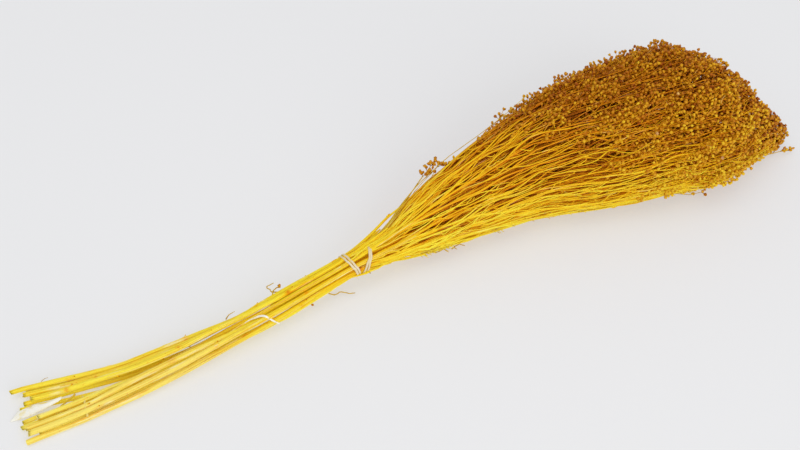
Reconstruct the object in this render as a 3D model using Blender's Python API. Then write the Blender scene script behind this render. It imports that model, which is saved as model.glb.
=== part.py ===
"""A tied bunch of preserved broom bloom, lying on a table as it was put down.

Sixteen cut stems lie fanned at the left, run together under a rubber band, and fork above it
into wiry branches whose twigs and buds make the broad head at the right.
+X runs from the cut ends to the head, +Z is up, and the table is z = 0. Sizes are in millimetres.
"""

import math

import bmesh
import bpy
import numpy as np

MM = 0.001
SEED = 7

# The outline of the whole bunch, section by section along its length:
# x, middle in y, half width, underside and top.
OUTLINE = (
    (-311, -4.5, 23, 0, 7.5),
    (-294, -6.5, 24, 0, 8),
    (-271, -10, 20, 0, 9.5),
    (-250, -12.6, 16.6, 0, 11),
    (-231, -13.8, 13.8, 0, 13),
    (-211, -13.8, 12, 0, 15),
    (-189, -13.2, 11, 0, 17),
    (-147, -9.8, 9.4, 2, 20.5),
    (-111, -7, 8.9, 5.5, 23.5),
    (-83, -4.6, 8, 10, 27),
    (-58, -3, 8, 14, 30),
    (-26, 2, 14, 11, 38),
    (9, 6, 25, 7, 53),
    (49, 11, 32, 3, 67),
    (89, 13, 38, 1, 76),
    (129, 12, 47, 0, 84),
    (169, 9, 56, 0, 92),
    (209, 4, 62, 0, 95),
    (239, -3, 62, 0, 90),
    (264, -9, 53, 0, 78),
    (284, -16, 39, 0, 63),
    (295, -20, 24, 2, 46),
)
# Past the broadest section the branches go on spreading, and end where they meet the outline.
BROADEST = 17
FAN = OUTLINE[: BROADEST + 1] + ((295, -8, 67, 0, 98),)
# The broadest level of a section, as a share of its height: half way up in the stems, lower
# in the head, which sags on the table.
STEM_WAIST, HEAD_WAIST = 0.5, 0.36
ROUND_ABOVE, ROUND_BELOW = 2.1, 2.6

STEMS = 16
FAR_GROUP = 8
# The gap between the two groups of cut ends, as a share of the half width, and where it closes.
GROUP_GAP = 0.33
GAP_CLOSES = (-300, -222)
# How many stems, how far out and how far turned, in each ring of the bundle.
BUNDLE_RINGS = ((1, 0.0, 0.0), (5, 0.56, 0.3), (10, 1.0, 0.1))
CUT_END, CUT_SPREAD = -308.5, 14.0
STEM_RADIUS = ((-311, 1.85), (-58, 1.45), (9, 1.2))
STEM_VARIATION = 0.12
BAND_X = -58.0
# Nearer the cut ends than this the stems keep to the bends of the outline.
FANNED_TO = -100.0
FORKS = (-26.0, -8.0, 9.0)

# The stems carry three and two branches by turns.
FORKED_IN = (3, 2)
BRANCHES = sum(FORKED_IN[k % 2] for k in range(STEMS))
# A stem's branches set off this near its own place in the bundle, this far apart, each stem's
# set turned by this much more than the last.
KEEPS_PLACE, PARTS_BY, TURNED_BY = 0.85, 0.12, 0.17
# A branch starts this far beyond its stem's end, this thin. Its buds begin further out.
BRANCH_START = 0.5
FORK_RADIUS = 0.5
BUDS_FROM = 70.0
# How much of a branch's share of the section it fills, from the forks to the middle of the head.
FULLNESS = ((33, 170), (0.75, 0.82))
# Bud clusters make it fat and lean by turns, in steps of this length, and dent it all over, but
# not on its underside, which the table presses smooth.
BUD_STEP = 27.0
HOLLOWEST, LEAN, ROUGHEST = 0.68, 0.86, 0.74
SMOOTH_BELOW = 5.0
TIP_LENGTH = 12.0
BLUNT_TIP = ((0.0, 1.0), (0.65, 0.8), (1.0, 0.38))
# One low branch runs on past the others and lies on the table in front of the head.
STRAY_SPRIG = ((275, -43, 5.5), (290, -44, 4.6), (300, -44.5, 4.2), (309, -43.5, 4))
STRAY_RADII = (4.2, 3.0, 3.6, 1.4)
# Strands keep this much air between them, and branches, which cross the sections on a slant, keep
# a little more. A branch pressed on the table has its middle no lower than this share of its radius.
GAP = 0.4
SLANT = 1.07
PRESSED = 0.78

STEM_STATIONS = (-311, -271, -231, -189, -147, -111, -83, -58, -41)
HEAD_STATIONS = (-26, -8, 9, 33, 59, 87, 115, 143, 171, 199, 225, 249, 271, 295)
STATIONS = np.array(STEM_STATIONS + HEAD_STATIONS, float)

# The band's way round the bundle: turns so far, x, how far it leans towards the cut ends on top,
# and how far it is lifted off the stems where it crosses itself.
BAND_COURSE = (
    (0.0, -61.4, 3.5, 1.3),
    (0.1, -61.4, 3.5, 0.0),
    (1.0, -61.2, 3.5, 0.0),
    (1.15, -59.0, 3.5, 0.0),
    (2.05, -58.8, 3.0, 0.0),
    (2.3, -47.0, -1.0, 0.0),
    (2.6, -45.8, -2.5, 0.0),
    (3.55, -45.0, -2.5, 0.0),
    (3.8, -52.5, 0.0, 0.0),
    (3.87, -56.0, 1.0, 1.3),
    (4.0, -61.4, 3.5, 1.3),
)
BAND_START, BAND_STEPS = math.radians(250), 18
BAND_SIZE = (1.7, 0.8)
BARK_COURSE = (
    (0.0, -141.0, 0.0, 0.0),
    (0.04, -135.0, 0.0, 0.2),
    (0.08, -130.0, 0.0, 0.6),
    (0.12, -126.5, 0.0, 2.0),
    (0.16, -123.5, 0.0, 4.5),
    (0.2, -121.0, 0.0, 7.0),
)
BARK_START, BARK_STEPS = math.radians(130), 25
BARK_SIZE = (2.2, 0.5)
STRIP_OUTLINE = (
    (-310, -9.0),
    (-292, -9.4),
    (-277, -9.6),
    (-277, -8.2),
    (-284, -6.8),
    (-292, -5.6),
    (-300, -5.0),
    (-307, -5.0),
)
STRIP_THICKNESS = 0.7


def section(table, x):
    """The middle in y, half width, waist height, underside and top of a table's section at x."""
    rows = np.array(table, float)
    middle, half, low, high = (np.interp(x, rows[:, 0], rows[:, k]) for k in (1, 2, 3, 4))
    share = np.clip((x - BAND_X) / 110, 0, 1)
    waist = low + (high - low) * (STEM_WAIST + (HEAD_WAIST - STEM_WAIST) * share)
    return middle, half, waist, low, high


def rim(table, x, angle, inset):
    """The point of a section's edge at this angle, moved inwards by inset."""
    middle, half, waist, low, high = section(table, x)
    c, s = math.cos(angle), math.sin(angle)
    power = ROUND_ABOVE if s > 0 else ROUND_BELOW
    reach = (abs(c) ** power + abs(s) ** power) ** (-1 / power)
    tall = (high - waist) if s > 0 else (waist - low)
    return np.array([middle + (half - inset) * reach * c, waist + (tall - inset) * reach * s])


def share_of_outline(x, point):
    """How far out a point lies in the outline's section at x: 0 in the middle, 1 on the edge."""
    middle, half, waist, low, high = section(OUTLINE, x)
    across = abs(point[0] - middle) / half
    above = point[1] > waist
    up = abs(point[1] - waist) / ((high - waist) if above else (waist - low))
    power = ROUND_ABOVE if above else ROUND_BELOW
    return (across**power + up**power) ** (1 / power)


def packed_bundle():
    """Where the stems lie in the tight round bundle under the band, in rings round the middle one."""
    places = []
    for count, reach, turn in BUNDLE_RINGS:
        for k in range(count):
            angle = 2 * math.pi * (k + turn) / count
            places.append((reach * math.cos(angle), reach * math.sin(angle)))
    return places


def pushes(points, need):
    """How far each point is pushed by those that are nearer to it than they need to be."""
    itself = np.eye(len(points))
    away = points[:, None] - points[None]
    distance = np.linalg.norm(away, axis=2) + itself
    push = np.clip(need - distance, 0, None) * (1 - itself)
    return (away / distance[..., None] * push[..., None]).sum(axis=1)


def spread_apart(points, rounds=60):
    """Evens out points over a disc of radius 1, each keeping its neighbours."""
    points = points.copy()
    wanted = 1.75 / math.sqrt(len(points))
    for _ in range(rounds):
        points += 0.35 * pushes(points, wanted)
        points /= np.maximum(np.linalg.norm(points, axis=1, keepdims=True), 1)
    return points


class Strand:
    """One stem or branch while the bunch is laid out: where it wants to run and how thick it is."""

    def __init__(self, name, stem, first, last, radii, wanted):
        self.name, self.stem, self.first, self.last = name, stem, first, last
        self.radii, self.wanted = radii, wanted
        self.at = wanted.copy()
        self.whole = name.startswith("stem")
        self.stray = False


def cut_end_places(random):
    """Where the stems lie at their cut ends, as shares of the section: two groups, two layers."""
    places = []
    for count, low, high in ((STEMS - FAR_GROUP, -1.0, -GROUP_GAP), (FAR_GROUP, GROUP_GAP, 1.0)):
        bottom = count - 3
        for k in range(count):
            layer = 0.0 if k < bottom else 0.95
            row, size = (k, bottom) if k < bottom else (k - bottom + 0.5, 4)
            across = low + (high - low) * (row + 0.1) / (size - 0.8)
            places.append((across + random.uniform(-0.02, 0.02), layer))
    return sorted(places)


def lay_out_stems(random):
    """The stems, from the flat fan of their cut ends to the round bundle under the band."""
    ends = cut_end_places(random)
    bundle = sorted(packed_bundle(), key=lambda place: place[0])
    strands = []
    for k in range(STEMS):
        fork = FORKS[k % len(FORKS)]
        last = int(np.searchsorted(STATIONS, fork))
        thickness = 1 + random.uniform(-STEM_VARIATION, STEM_VARIATION)
        radii = thickness * np.interp(STATIONS, *np.array(STEM_RADIUS).T)
        wanted = np.zeros((len(STATIONS), 2))
        for s, x in enumerate(STATIONS):
            middle, half, _, low, high = section(OUTLINE, x)
            t = np.clip((x - STATIONS[0]) / (BAND_X - STATIONS[0]), 0, 1)
            t = t * t * (3 - 2 * t)
            closed = math.copysign((abs(ends[k][0]) - GROUP_GAP) / (1 - GROUP_GAP), ends[k][0])
            fanned = np.interp(x, GAP_CLOSES, (ends[k][0], closed))
            across = fanned * (1 - t) + bundle[k][0] * t
            up = ends[k][1] * (1 - t) + (0.5 + 0.5 * bundle[k][1]) * t
            r = radii[s]
            wanted[s] = middle + across * (half - r), low + r + up * (high - low - 2 * r)
        strands.append(Strand(f"stem_{k + 1:02d}", k, 0, last, radii, wanted))
    return strands, np.array(bundle)


def lay_out_branches(stems, bundle):
    """The branches, each from its stem's fork out to the edge of the head."""
    owners, starts = [], []
    for k in range(STEMS):
        count = FORKED_IN[k % 2]
        for j in range(count):
            turn = 2 * math.pi * (j + TURNED_BY * k) / count
            owners.append(k)
            starts.append(KEEPS_PLACE * bundle[k] + PARTS_BY * np.array([math.cos(turn), math.sin(turn)]))
    places = spread_apart(np.array(starts))
    strands, numbers = [], {}
    for k, place in zip(owners, places):
        numbers[k] = numbers.get(k, 0) + 1
        reach, angle = np.linalg.norm(place), math.atan2(place[1], place[0])
        radii, wanted = np.zeros(len(STATIONS)), np.zeros((len(STATIONS), 2))
        for s, x in enumerate(STATIONS):
            middle, half, waist, low, high = section(FAN, x)
            radii[s] = np.interp(x, *FULLNESS) * math.sqrt(half * (high - low) / 2 / BRANCHES)
            edge = rim(FAN, x, angle, radii[s])
            wanted[s] = np.array([middle, waist]) * (1 - reach) + edge * reach
        name = f"branch_{k + 1:02d}{'abc'[numbers[k] - 1]}"
        strands.append(Strand(name, k, stems[k].last + 1, len(STATIONS) - 1, radii, wanted))
    return strands


def slant(s):
    """How much more room the strands need at a station because they cross it on a slant."""
    return 1.01 if STATIONS[s] <= FORKS[0] else SLANT


def push_apart(strands, share):
    """Moves strands that touch off each other, at the stations and half way between them."""
    for s in range(len(STATIONS)):
        for after in (s, s + 1):
            here = [strand for strand in strands if strand.first <= s and after <= strand.last]
            if not here or after == len(STATIONS):
                continue
            at = np.array([strand.at[s] + strand.at[after] for strand in here]) / 2
            r = np.array([strand.radii[s] + strand.radii[after] for strand in here]) / 2
            moves = share / 2 * pushes(at, (r[:, None] + r[None] + GAP) * slant(s))
            for strand, move in zip(here, moves):
                for k in {s, after}:
                    rest = 1.0 if strand.whole or STATIONS[k] < BUDS_FROM else PRESSED
                    strand.at[k] = strand.at[k] + move
                    strand.at[k][1] = max(strand.at[k][1], rest * strand.radii[k])


def settle(stems, branches, rounds=160):
    """Lets every strand find room: smooth along its length, near where it wants to be, touching none."""
    strands = stems + branches
    tied = np.exp(-(((STATIONS - BAND_X) / 45) ** 2))[:, None]
    bent = (STATIONS < FANNED_TO)[:, None]
    for step in range(rounds):
        hold = (0.12 if step < rounds * 0.7 else 0.05) + 0.4 * np.maximum(tied, bent)
        for strand in strands:
            before = strand.at.copy()
            if strand in branches:
                before[strand.first - 1] = stems[strand.stem].at[strand.first - 1]
            for s in range(strand.first, strand.last):
                if s > 0:
                    middle = (before[s - 1] + before[s + 1]) / 2
                    strand.at[s] += 0.3 * (middle - before[s])
            strand.at += hold * (strand.wanted - strand.at)
        for _ in range(6):
            push_apart(strands, 0.9)
    for _ in range(200):
        push_apart(strands, 0.5)


def room_for(strand, strands, s):
    """The radius a branch can have at a station without touching its neighbours."""
    others = [o for o in strands if o is not strand and o.first <= s <= o.last]
    free = [np.linalg.norm(strand.at[s] - o.at[s]) / slant(s) - GAP - o.radii[s] for o in others]
    return min([strand.radii[s] * 1.15, *free])


def along(strand, x):
    """Where a strand's middle is at any x."""
    return np.array([np.interp(x, STATIONS, strand.at[:, 0]), np.interp(x, STATIONS, strand.at[:, 1])])


def stem_run(strand, random):
    """The points and radii of a stem from its cut end to its fork."""
    start = CUT_END + random.uniform(0, CUT_SPREAD)
    inner = [x for x in STATIONS[: strand.last] if x > start + CUT_SPREAD]
    xs = [start, *inner, STATIONS[strand.last]]
    radii = [float(np.interp(x, STATIONS, strand.radii)) for x in xs]
    return [(x, *along(strand, x)) for x in xs], radii


def end_of(strand):
    """Where a branch's tip meets the edge of the head."""
    x = STATIONS[BROADEST + 2]
    while x < STATIONS[-1]:
        room = float(np.interp(x, STATIONS, strand.radii))
        _, half, _, _, _ = section(OUTLINE, x)
        if share_of_outline(x, along(strand, x)) > 1 - 0.5 * room / half:
            break
        x += 1.0
    return x


def seats(stem, sisters):
    """Where the branches of a stem spring from its fork, each on the side it will run to."""
    heading = np.array([b.at[b.first] for b in sisters])
    places = heading - heading.mean(axis=0)
    apart = 2 * FORK_RADIUS + GAP
    places *= 0.55 * apart / np.linalg.norm(places, axis=1).max()
    for _ in range(60):
        places += pushes(places, apart) / 2
    return stem.at[stem.last] + places


def branch_run(strand, fork, seat, strands, random):
    """The points and radii of a branch, from its place on the fork to its blunt tip."""
    xs = STATIONS[strand.first :]
    room = [room_for(strand, strands, s) for s in range(strand.first, len(STATIONS))]
    end = STRAY_SPRIG[0][0] if strand.stray else end_of(strand) - TIP_LENGTH
    points = [(fork + BRANCH_START, *seat)]
    radii = [FORK_RADIUS]
    for x, radius in zip(xs, room):
        if x < BUDS_FROM:
            points.append((x, *along(strand, x)))
            radii.append(radius)
    x = points[-1][0] + BUD_STEP * random.uniform(0.7, 1.3)
    full = random.random() < 0.5
    while x < end - BUD_STEP / 3:
        share = 1.0 if full else random.uniform(HOLLOWEST, LEAN)
        points.append((x, *along(strand, x)))
        radii.append(share * float(np.interp(x, xs, room)))
        x += BUD_STEP * random.uniform(0.85, 1.15)
        full = not full
    if strand.stray:
        return points + list(STRAY_SPRIG), radii + list(STRAY_RADII)
    widest = float(np.interp(end, xs, room))
    for further, share in BLUNT_TIP:
        x = end + further * TIP_LENGTH
        points.append((x, *along(strand, x)))
        radii.append(widest * share)
    return points, radii


def material(name, colour, roughness):
    made = bpy.data.materials.new(name)
    made.use_nodes = True
    shader = made.node_tree.nodes["Principled BSDF"]
    shader.inputs["Base Color"].default_value = (*colour, 1)
    shader.inputs["Roughness"].default_value = roughness
    return made


def tube(name, points, radii, bevel_resolution, finish):
    """A curve object along the points, round, with a radius at each, and with closed ends."""
    curve = bpy.data.curves.new(name, "CURVE")
    curve.dimensions = "3D"
    curve.bevel_depth = MM
    curve.bevel_resolution = bevel_resolution
    curve.use_fill_caps = True
    spline = curve.splines.new("POLY")
    spline.points.add(len(points) - 1)
    origin = np.array(points[0], float)
    for place, point, radius in zip(spline.points, points, radii):
        place.co = (*((np.array(point, float) - origin) * MM), 1)
        place.radius = radius
    made = bpy.data.objects.new(name, curve)
    made.location = origin * MM
    curve.materials.append(finish)
    BUNCH.objects.link(made)
    made.parent = BASE
    return made


def as_mesh(source):
    """The same object with its curve made a closed mesh."""
    bpy.context.view_layer.update()
    evaluated = source.evaluated_get(bpy.context.evaluated_depsgraph_get())
    mesh = bpy.data.meshes.new_from_object(evaluated)
    name, place, finish = source.name, source.matrix_world.copy(), source.data.materials[0]
    bpy.data.objects.remove(source)
    work = bmesh.new()
    work.from_mesh(mesh)
    bmesh.ops.remove_doubles(work, verts=work.verts, dist=0.01 * MM)
    bmesh.ops.recalc_face_normals(work, faces=work.faces)
    work.to_mesh(mesh)
    work.free()
    if not mesh.materials:
        mesh.materials.append(finish)
    made = bpy.data.objects.new(name, mesh)
    made.matrix_world = place
    BUNCH.objects.link(made)
    made.parent = BASE
    return made


def roughen(made, points, random):
    """Dents a branch's outside where its buds are, so that it has their knobbly look."""
    origin = np.array(made.matrix_world.translation)
    xs = [p[0] for p in points]
    line = np.array(points, float)
    for vertex in made.data.vertices:
        place = (np.array(vertex.co) + origin) / MM
        middle = np.array([place[0], np.interp(place[0], xs, line[:, 1]), np.interp(place[0], xs, line[:, 2])])
        keen = min(1.0, max(0.0, (place[0] - BUDS_FROM) / 60)) * (place[2] > SMOOTH_BELOW)
        share = 1 - keen * random.uniform(0, 1 - ROUGHEST)
        moved = middle + (place - middle) * share
        vertex.co = moved * MM - origin


def table_cutter():
    """The table's top, which flattens what is pressed against it."""
    bpy.ops.mesh.primitive_cube_add(size=1, location=(0, 0, -0.05))
    cutter = bpy.context.active_object
    cutter.name = "table_top"
    cutter.scale = (1, 1, 0.1)
    bpy.ops.object.transform_apply(scale=True)
    for collection in cutter.users_collection:
        collection.objects.unlink(cutter)
    CUTTERS.objects.link(cutter)
    cutter.hide_render = True
    cutter.display_type = "WIRE"
    return cutter


def press_flat(made, cutter):
    """Cuts away what a soft branch would have below the table, leaving the flat it rests on."""
    lowest = min((made.matrix_world @ v.co).z for v in made.data.vertices)
    if lowest >= 0:
        return
    cut = made.modifiers.new("pressed flat", "BOOLEAN")
    cut.operation = "DIFFERENCE"
    cut.solver = "EXACT"
    cut.object = cutter


def hull_point(circles, angle, lift):
    """Where a taut band touches a bundle of circles, looking along this angle."""
    way = np.array([math.cos(angle), math.sin(angle)])
    centre, radius = max(circles, key=lambda c: float(c[0] @ way) + c[1])
    return centre + way * (radius + lift)


def ribbon(name, stems, course, start, steps, size, finish):
    """A flat ribbon laid tight over the stems along a course; one of whole turns closes on itself."""
    course = np.array(course)
    turns = course[-1, 0]
    closed = turns == int(turns)
    count = round(turns * steps) + (0 if closed else 1)
    places, outward = [], []
    for k in range(count):
        t = turns * k / (count if closed else count - 1)
        x, lean, lift = (float(np.interp(t, course[:, 0], course[:, column])) for column in (1, 2, 3))
        angle = start - 2 * math.pi * t if closed else start + 2 * math.pi * t
        x -= lean * math.cos(angle - math.pi / 4)
        circles = [(along(s, x), float(np.interp(x, STATIONS, s.radii))) for s in stems]
        place = hull_point(circles, angle, GAP + size[1] / 2 + lift)
        places.append(np.array([x, *place]))
        outward.append(np.array([0.0, math.cos(angle), math.sin(angle)]))
    mesh = bpy.data.meshes.new(name)
    work = bmesh.new()
    rings = []
    for k, (place, out) in enumerate(zip(places, outward)):
        after = places[(k + 1) % count] if closed else places[min(k + 1, count - 1)]
        before = places[k - 1] if closed else places[max(k - 1, 0)]
        side = np.cross(out, after - before)
        side /= np.linalg.norm(side)
        corners = ((-0.5, -0.5), (0.5, -0.5), (0.5, 0.5), (-0.5, 0.5))
        ring = [place + side * a * size[0] + out * b * size[1] for a, b in corners]
        rings.append([work.verts.new(p * MM) for p in ring])
    for k in range(count if closed else count - 1):
        ring, after = rings[k], rings[(k + 1) % count]
        for j in range(4):
            work.faces.new((ring[j], ring[(j + 1) % 4], after[(j + 1) % 4], after[j]))
    if not closed:
        work.faces.new(rings[0])
        work.faces.new(rings[-1])
    bmesh.ops.recalc_face_normals(work, faces=work.faces)
    work.to_mesh(mesh)
    work.free()
    mesh.materials.append(finish)
    made = bpy.data.objects.new(name, mesh)
    BUNCH.objects.link(made)
    made.parent = BASE


def peeled_strip(finish):
    """A pale strip of inner wood, split off a stem and lying between the two groups of cut ends."""
    curve = bpy.data.curves.new("peeled_strip", "CURVE")
    curve.dimensions = "2D"
    curve.fill_mode = "BOTH"
    curve.extrude = STRIP_THICKNESS / 2 * MM
    spline = curve.splines.new("POLY")
    spline.points.add(len(STRIP_OUTLINE) - 1)
    spline.use_cyclic_u = True
    for place, (x, y) in zip(spline.points, STRIP_OUTLINE):
        place.co = (x * MM, y * MM, 0, 1)
    made = bpy.data.objects.new("peeled_strip", curve)
    made.location = (0, 0, (STRIP_THICKNESS / 2 + 0.1) * MM)
    curve.materials.append(finish)
    BUNCH.objects.link(made)
    made.parent = BASE


for thing in list(bpy.data.objects):
    bpy.data.objects.remove(thing)
BUNCH = bpy.data.collections.new("Broom bloom bunch")
CUTTERS = bpy.data.collections.new("Cutters")
for collection in (BUNCH, CUTTERS):
    bpy.context.scene.collection.children.link(collection)
BASE = bpy.data.objects.new("bunch", None)
BUNCH.objects.link(BASE)

dyed_stem = material("dyed stem", (0.86, 0.62, 0.05), 0.55)
dyed_bud = material("dyed buds", (0.55, 0.29, 0.03), 0.75)
natural_rubber = material("natural rubber", (0.80, 0.66, 0.42), 0.5)
bare_wood = material("bare wood", (0.88, 0.85, 0.76), 0.7)

random = np.random.default_rng(SEED)
stems, bundle = lay_out_stems(random)
branches = lay_out_branches(stems, bundle)
settle(stems, branches)

aim = np.array(STRAY_SPRIG[0][1:])
stray = min(branches, key=lambda branch: np.linalg.norm(along(branch, STRAY_SPRIG[0][0]) - aim))
stray.stray = True

for stem in stems:
    points, radii = stem_run(stem, random)
    tube(stem.name, points, radii, 2, dyed_stem)

cutter = table_cutter()
for stem in stems:
    sisters = [b for b in branches if b.stem == stem.stem]
    for branch, seat in zip(sisters, seats(stem, sisters)):
        points, radii = branch_run(branch, STATIONS[stem.last], seat, stems + branches, random)
        made = as_mesh(tube(branch.name, points, radii, 1, dyed_bud))
        roughen(made, points, random)
        press_flat(made, cutter)

ribbon("rubber_band", stems, BAND_COURSE, BAND_START, BAND_STEPS, BAND_SIZE, natural_rubber)
ribbon("bark_strip", stems, BARK_COURSE, BARK_START, BARK_STEPS, BARK_SIZE, bare_wood)
peeled_strip(bare_wood)
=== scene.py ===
import math

import bpy
import numpy as np
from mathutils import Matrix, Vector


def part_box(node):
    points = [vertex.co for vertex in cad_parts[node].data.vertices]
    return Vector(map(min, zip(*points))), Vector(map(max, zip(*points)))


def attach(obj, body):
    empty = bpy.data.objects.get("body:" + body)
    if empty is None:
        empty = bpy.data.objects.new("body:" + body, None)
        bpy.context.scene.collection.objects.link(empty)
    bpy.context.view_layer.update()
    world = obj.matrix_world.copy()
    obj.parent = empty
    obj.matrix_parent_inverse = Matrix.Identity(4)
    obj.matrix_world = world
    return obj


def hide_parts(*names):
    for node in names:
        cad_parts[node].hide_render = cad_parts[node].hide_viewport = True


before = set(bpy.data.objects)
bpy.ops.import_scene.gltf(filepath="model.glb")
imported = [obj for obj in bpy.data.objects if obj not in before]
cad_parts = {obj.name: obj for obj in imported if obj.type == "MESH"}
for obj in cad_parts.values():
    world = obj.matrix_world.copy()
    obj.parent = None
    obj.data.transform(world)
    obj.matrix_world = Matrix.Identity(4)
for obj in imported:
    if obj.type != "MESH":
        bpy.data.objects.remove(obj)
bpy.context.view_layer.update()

# The cut stems: sixteen dyed, dried stalks, round and woody, with low ribs along them and scars where
# leaves and side twigs sat. They were cut off on a slant, and run from there to their forks.

MM = 0.001
# The least gap over the table, and a full turn for angles that chance picks.
TABLE_GAP, FULL_TURN = 0.03, 6.28
STEM_NODES = sorted(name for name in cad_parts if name.startswith("stem_"))
STEM_SIDES, SIDES_PER_RIB, STEM_STEP = 18, 3, 3.0
BAND_X = -58.0
# How deep the grooves are and how much painted shade darkens them; how the stems waver and bend.
GROOVE, GROOVE_SHADE, STEM_WAVER, STEM_BEND = 0.17, 1.3, 0.03, 0.3
# Scars: how far apart, how far they swell, their length, kink and brown, and the turn from one to the next.
SCAR_EVERY, SCAR_SWELL, SCAR_LENGTH = (22.0, 56.0), 0.2, 1.5
SCAR_KINK, SCAR_BROWN, SCAR_TURN = 0.45, 0.36, 2.4
STUB_CHANCE, STUB_LENGTH, STUB_SIZE = 0.62, (0.8, 2.4), (0.32, 0.6)
SHOOTS_PER_STEM, SHOOT_SIZE = 3, (0.32, 0.62)
# Towards the forks the stems grow thinner, and browner.
NECK_FROM, NECK_TAPER = -48.0, 0.5
BROWNER_FROM, BROWNER_OVER, BROWNER_BY = -110.0, 60.0, 0.12
# The cut face from its middle to its rim, then the side next to it: how far out, how brown and how bare.
PITH, WOOD, RIM = 0.3, 0.84, 0.98
CUT_FACE = (
    (0.02, 0.3, 0.5),
    (PITH, 0.2, 0.5),
    (PITH + 0.02, 0.05, 0.75),
    (WOOD, 0.05, 0.8),
    (RIM, 0.08, 0.6),
    (1.0, 0.05, 0.45),
    (1.0, 0.05, 0.3),
)
CUT_SLANT, SLANT_FADES = (2, 22), 9.0
# The dye is thin towards the cut ends, most of all on the near side, and scraped off in places.
THIN_TO, THIN_OVER, THIN_ALL, THIN_NEAR = -118.0, 70.0, 0.07, 0.24
NEAR_EDGE = ((-300, -150, -58), (-6, -13, -6))
SCRAPES, SCRAPE_LENGTH, SCRAPE_BARE, MOST_BARE = (3, 8), (2, 11), 0.85, 0.85
# Brown remains of bark: where along the bunch, how long, which way they face (in degrees up from the far
# side), and how brown.
BARK_REMAINS = (
    (-104, 12, 75, 0.5),
    (-93, 9, 186, 0.5),
    (-80, 5, 180, 0.3),
    (-120, 5, 190, 0.25),
    (-266, 7, 100, 0.25),
)


def cut_across(node, xs):
    """The middle and half sizes, in millimetres, of a solid cut across at each x."""
    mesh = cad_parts[node].data
    places = np.empty(len(mesh.vertices) * 3)
    mesh.vertices.foreach_get("co", places)
    places = places.reshape(-1, 3) / MM
    edges = np.empty(len(mesh.edges) * 2, int)
    mesh.edges.foreach_get("vertices", edges)
    start, end = places[edges[::2]], places[edges[1::2]]
    rows = []
    for x in xs:
        crossing = (start[:, 0] - x) * (end[:, 0] - x) < 0
        a, b = start[crossing], end[crossing]
        share = (x - a[:, :1]) / (b[:, :1] - a[:, :1])
        cut = a + share * (b - a)
        low, high = cut.min(axis=0), cut.max(axis=0)
        rows.append([*((low + high) / 2)[1:], *((high - low) / 2)[1:]])
    return np.array(rows)


def at_x(x, line):
    """The y and z of a line at each x."""
    return np.stack([np.interp(x, line[:, 0], line[:, k]) for k in (1, 2)], axis=-1)


def unit(ways):
    """Rows of directions, each brought to length one."""
    return ways / np.linalg.norm(ways, axis=-1, keepdims=True)


def length_along(courses):
    """How far along its strand each place is."""
    steps = np.linalg.norm(np.diff(courses, axis=-2), axis=-1)
    return np.concatenate([np.zeros((*steps.shape[:-1], 1)), np.cumsum(steps, axis=-1)], axis=-1)


def facing_out(angle):
    """Directions square to the bunch, at angles up from the far side."""
    return np.stack([0 * angle, np.cos(angle), np.sin(angle)], axis=1)


def eased(values, reach):
    """Rows of values along a strand, smoothed over this many rows, with the ends kept in place."""
    pad = 3 * reach
    kernel = np.exp(-0.5 * (np.arange(-pad, pad + 1) / reach) ** 2)
    kernel /= kernel.sum()
    pad = min(pad, len(values) - 1)
    before = 2 * values[:1] - values[pad:0:-1]
    after = 2 * values[-1:] - values[-2 : -pad - 2 : -1]
    longer = np.concatenate([before, values, after])
    kernel = kernel[3 * reach - pad : 3 * reach + pad + 1]
    kernel = kernel / kernel.sum()
    return np.stack([np.convolve(longer[:, k], kernel, "valid") for k in range(values.shape[1])], axis=1)


def rings_along(courses, radii, sides, spin=0.0):
    """Rings of points round strands, each of which is a row of places."""
    heading = unit(np.gradient(courses, axis=1))
    chord = np.abs(courses[:, -1] - courses[:, 0])
    across = np.eye(3)[chord.argmin(axis=1)][:, None]
    side = unit(np.cross(heading, across))
    up = np.cross(heading, side)
    turn = np.reshape(spin, (-1, 1, 1, 1)) + (2 * math.pi * np.arange(sides) / sides)[:, None]
    radii = radii[..., None] if radii.ndim == 2 else radii
    out = np.cos(turn) * side[:, :, None] + np.sin(turn) * up[:, :, None]
    return courses[:, :, None] + radii[..., None] * out


def walls_of(rings, sides):
    """The triangles between rings of points."""
    ring, k = np.meshgrid(np.arange(rings - 1), np.arange(sides), indexing="ij")
    a, b = ring * sides + k, ring * sides + (k + 1) % sides
    c, d = a + sides, b + sides
    return np.concatenate([np.stack([a, b, d], -1).reshape(-1, 3), np.stack([a, d, c], -1).reshape(-1, 3)])


def repeated(faces, count, points):
    """One part's triangles, repeated for so many parts with so many points each."""
    return (faces[None] + np.arange(count)[:, None, None] * points).reshape(-1, 3)


def skin_of(strands, rings, sides, closed=True):
    """The triangles that cover strands of rings, with both ends closed unless other parts hide them."""
    j = np.arange(1, sides - 1)
    first = np.stack([0 * j, j + 1, j], -1)
    last = np.stack([0 * j, j, j + 1], -1) + (rings - 1) * sides
    walls = walls_of(rings, sides)
    one = np.concatenate([walls, first, last]) if closed else walls
    return repeated(one, strands, rings * sides)


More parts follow.
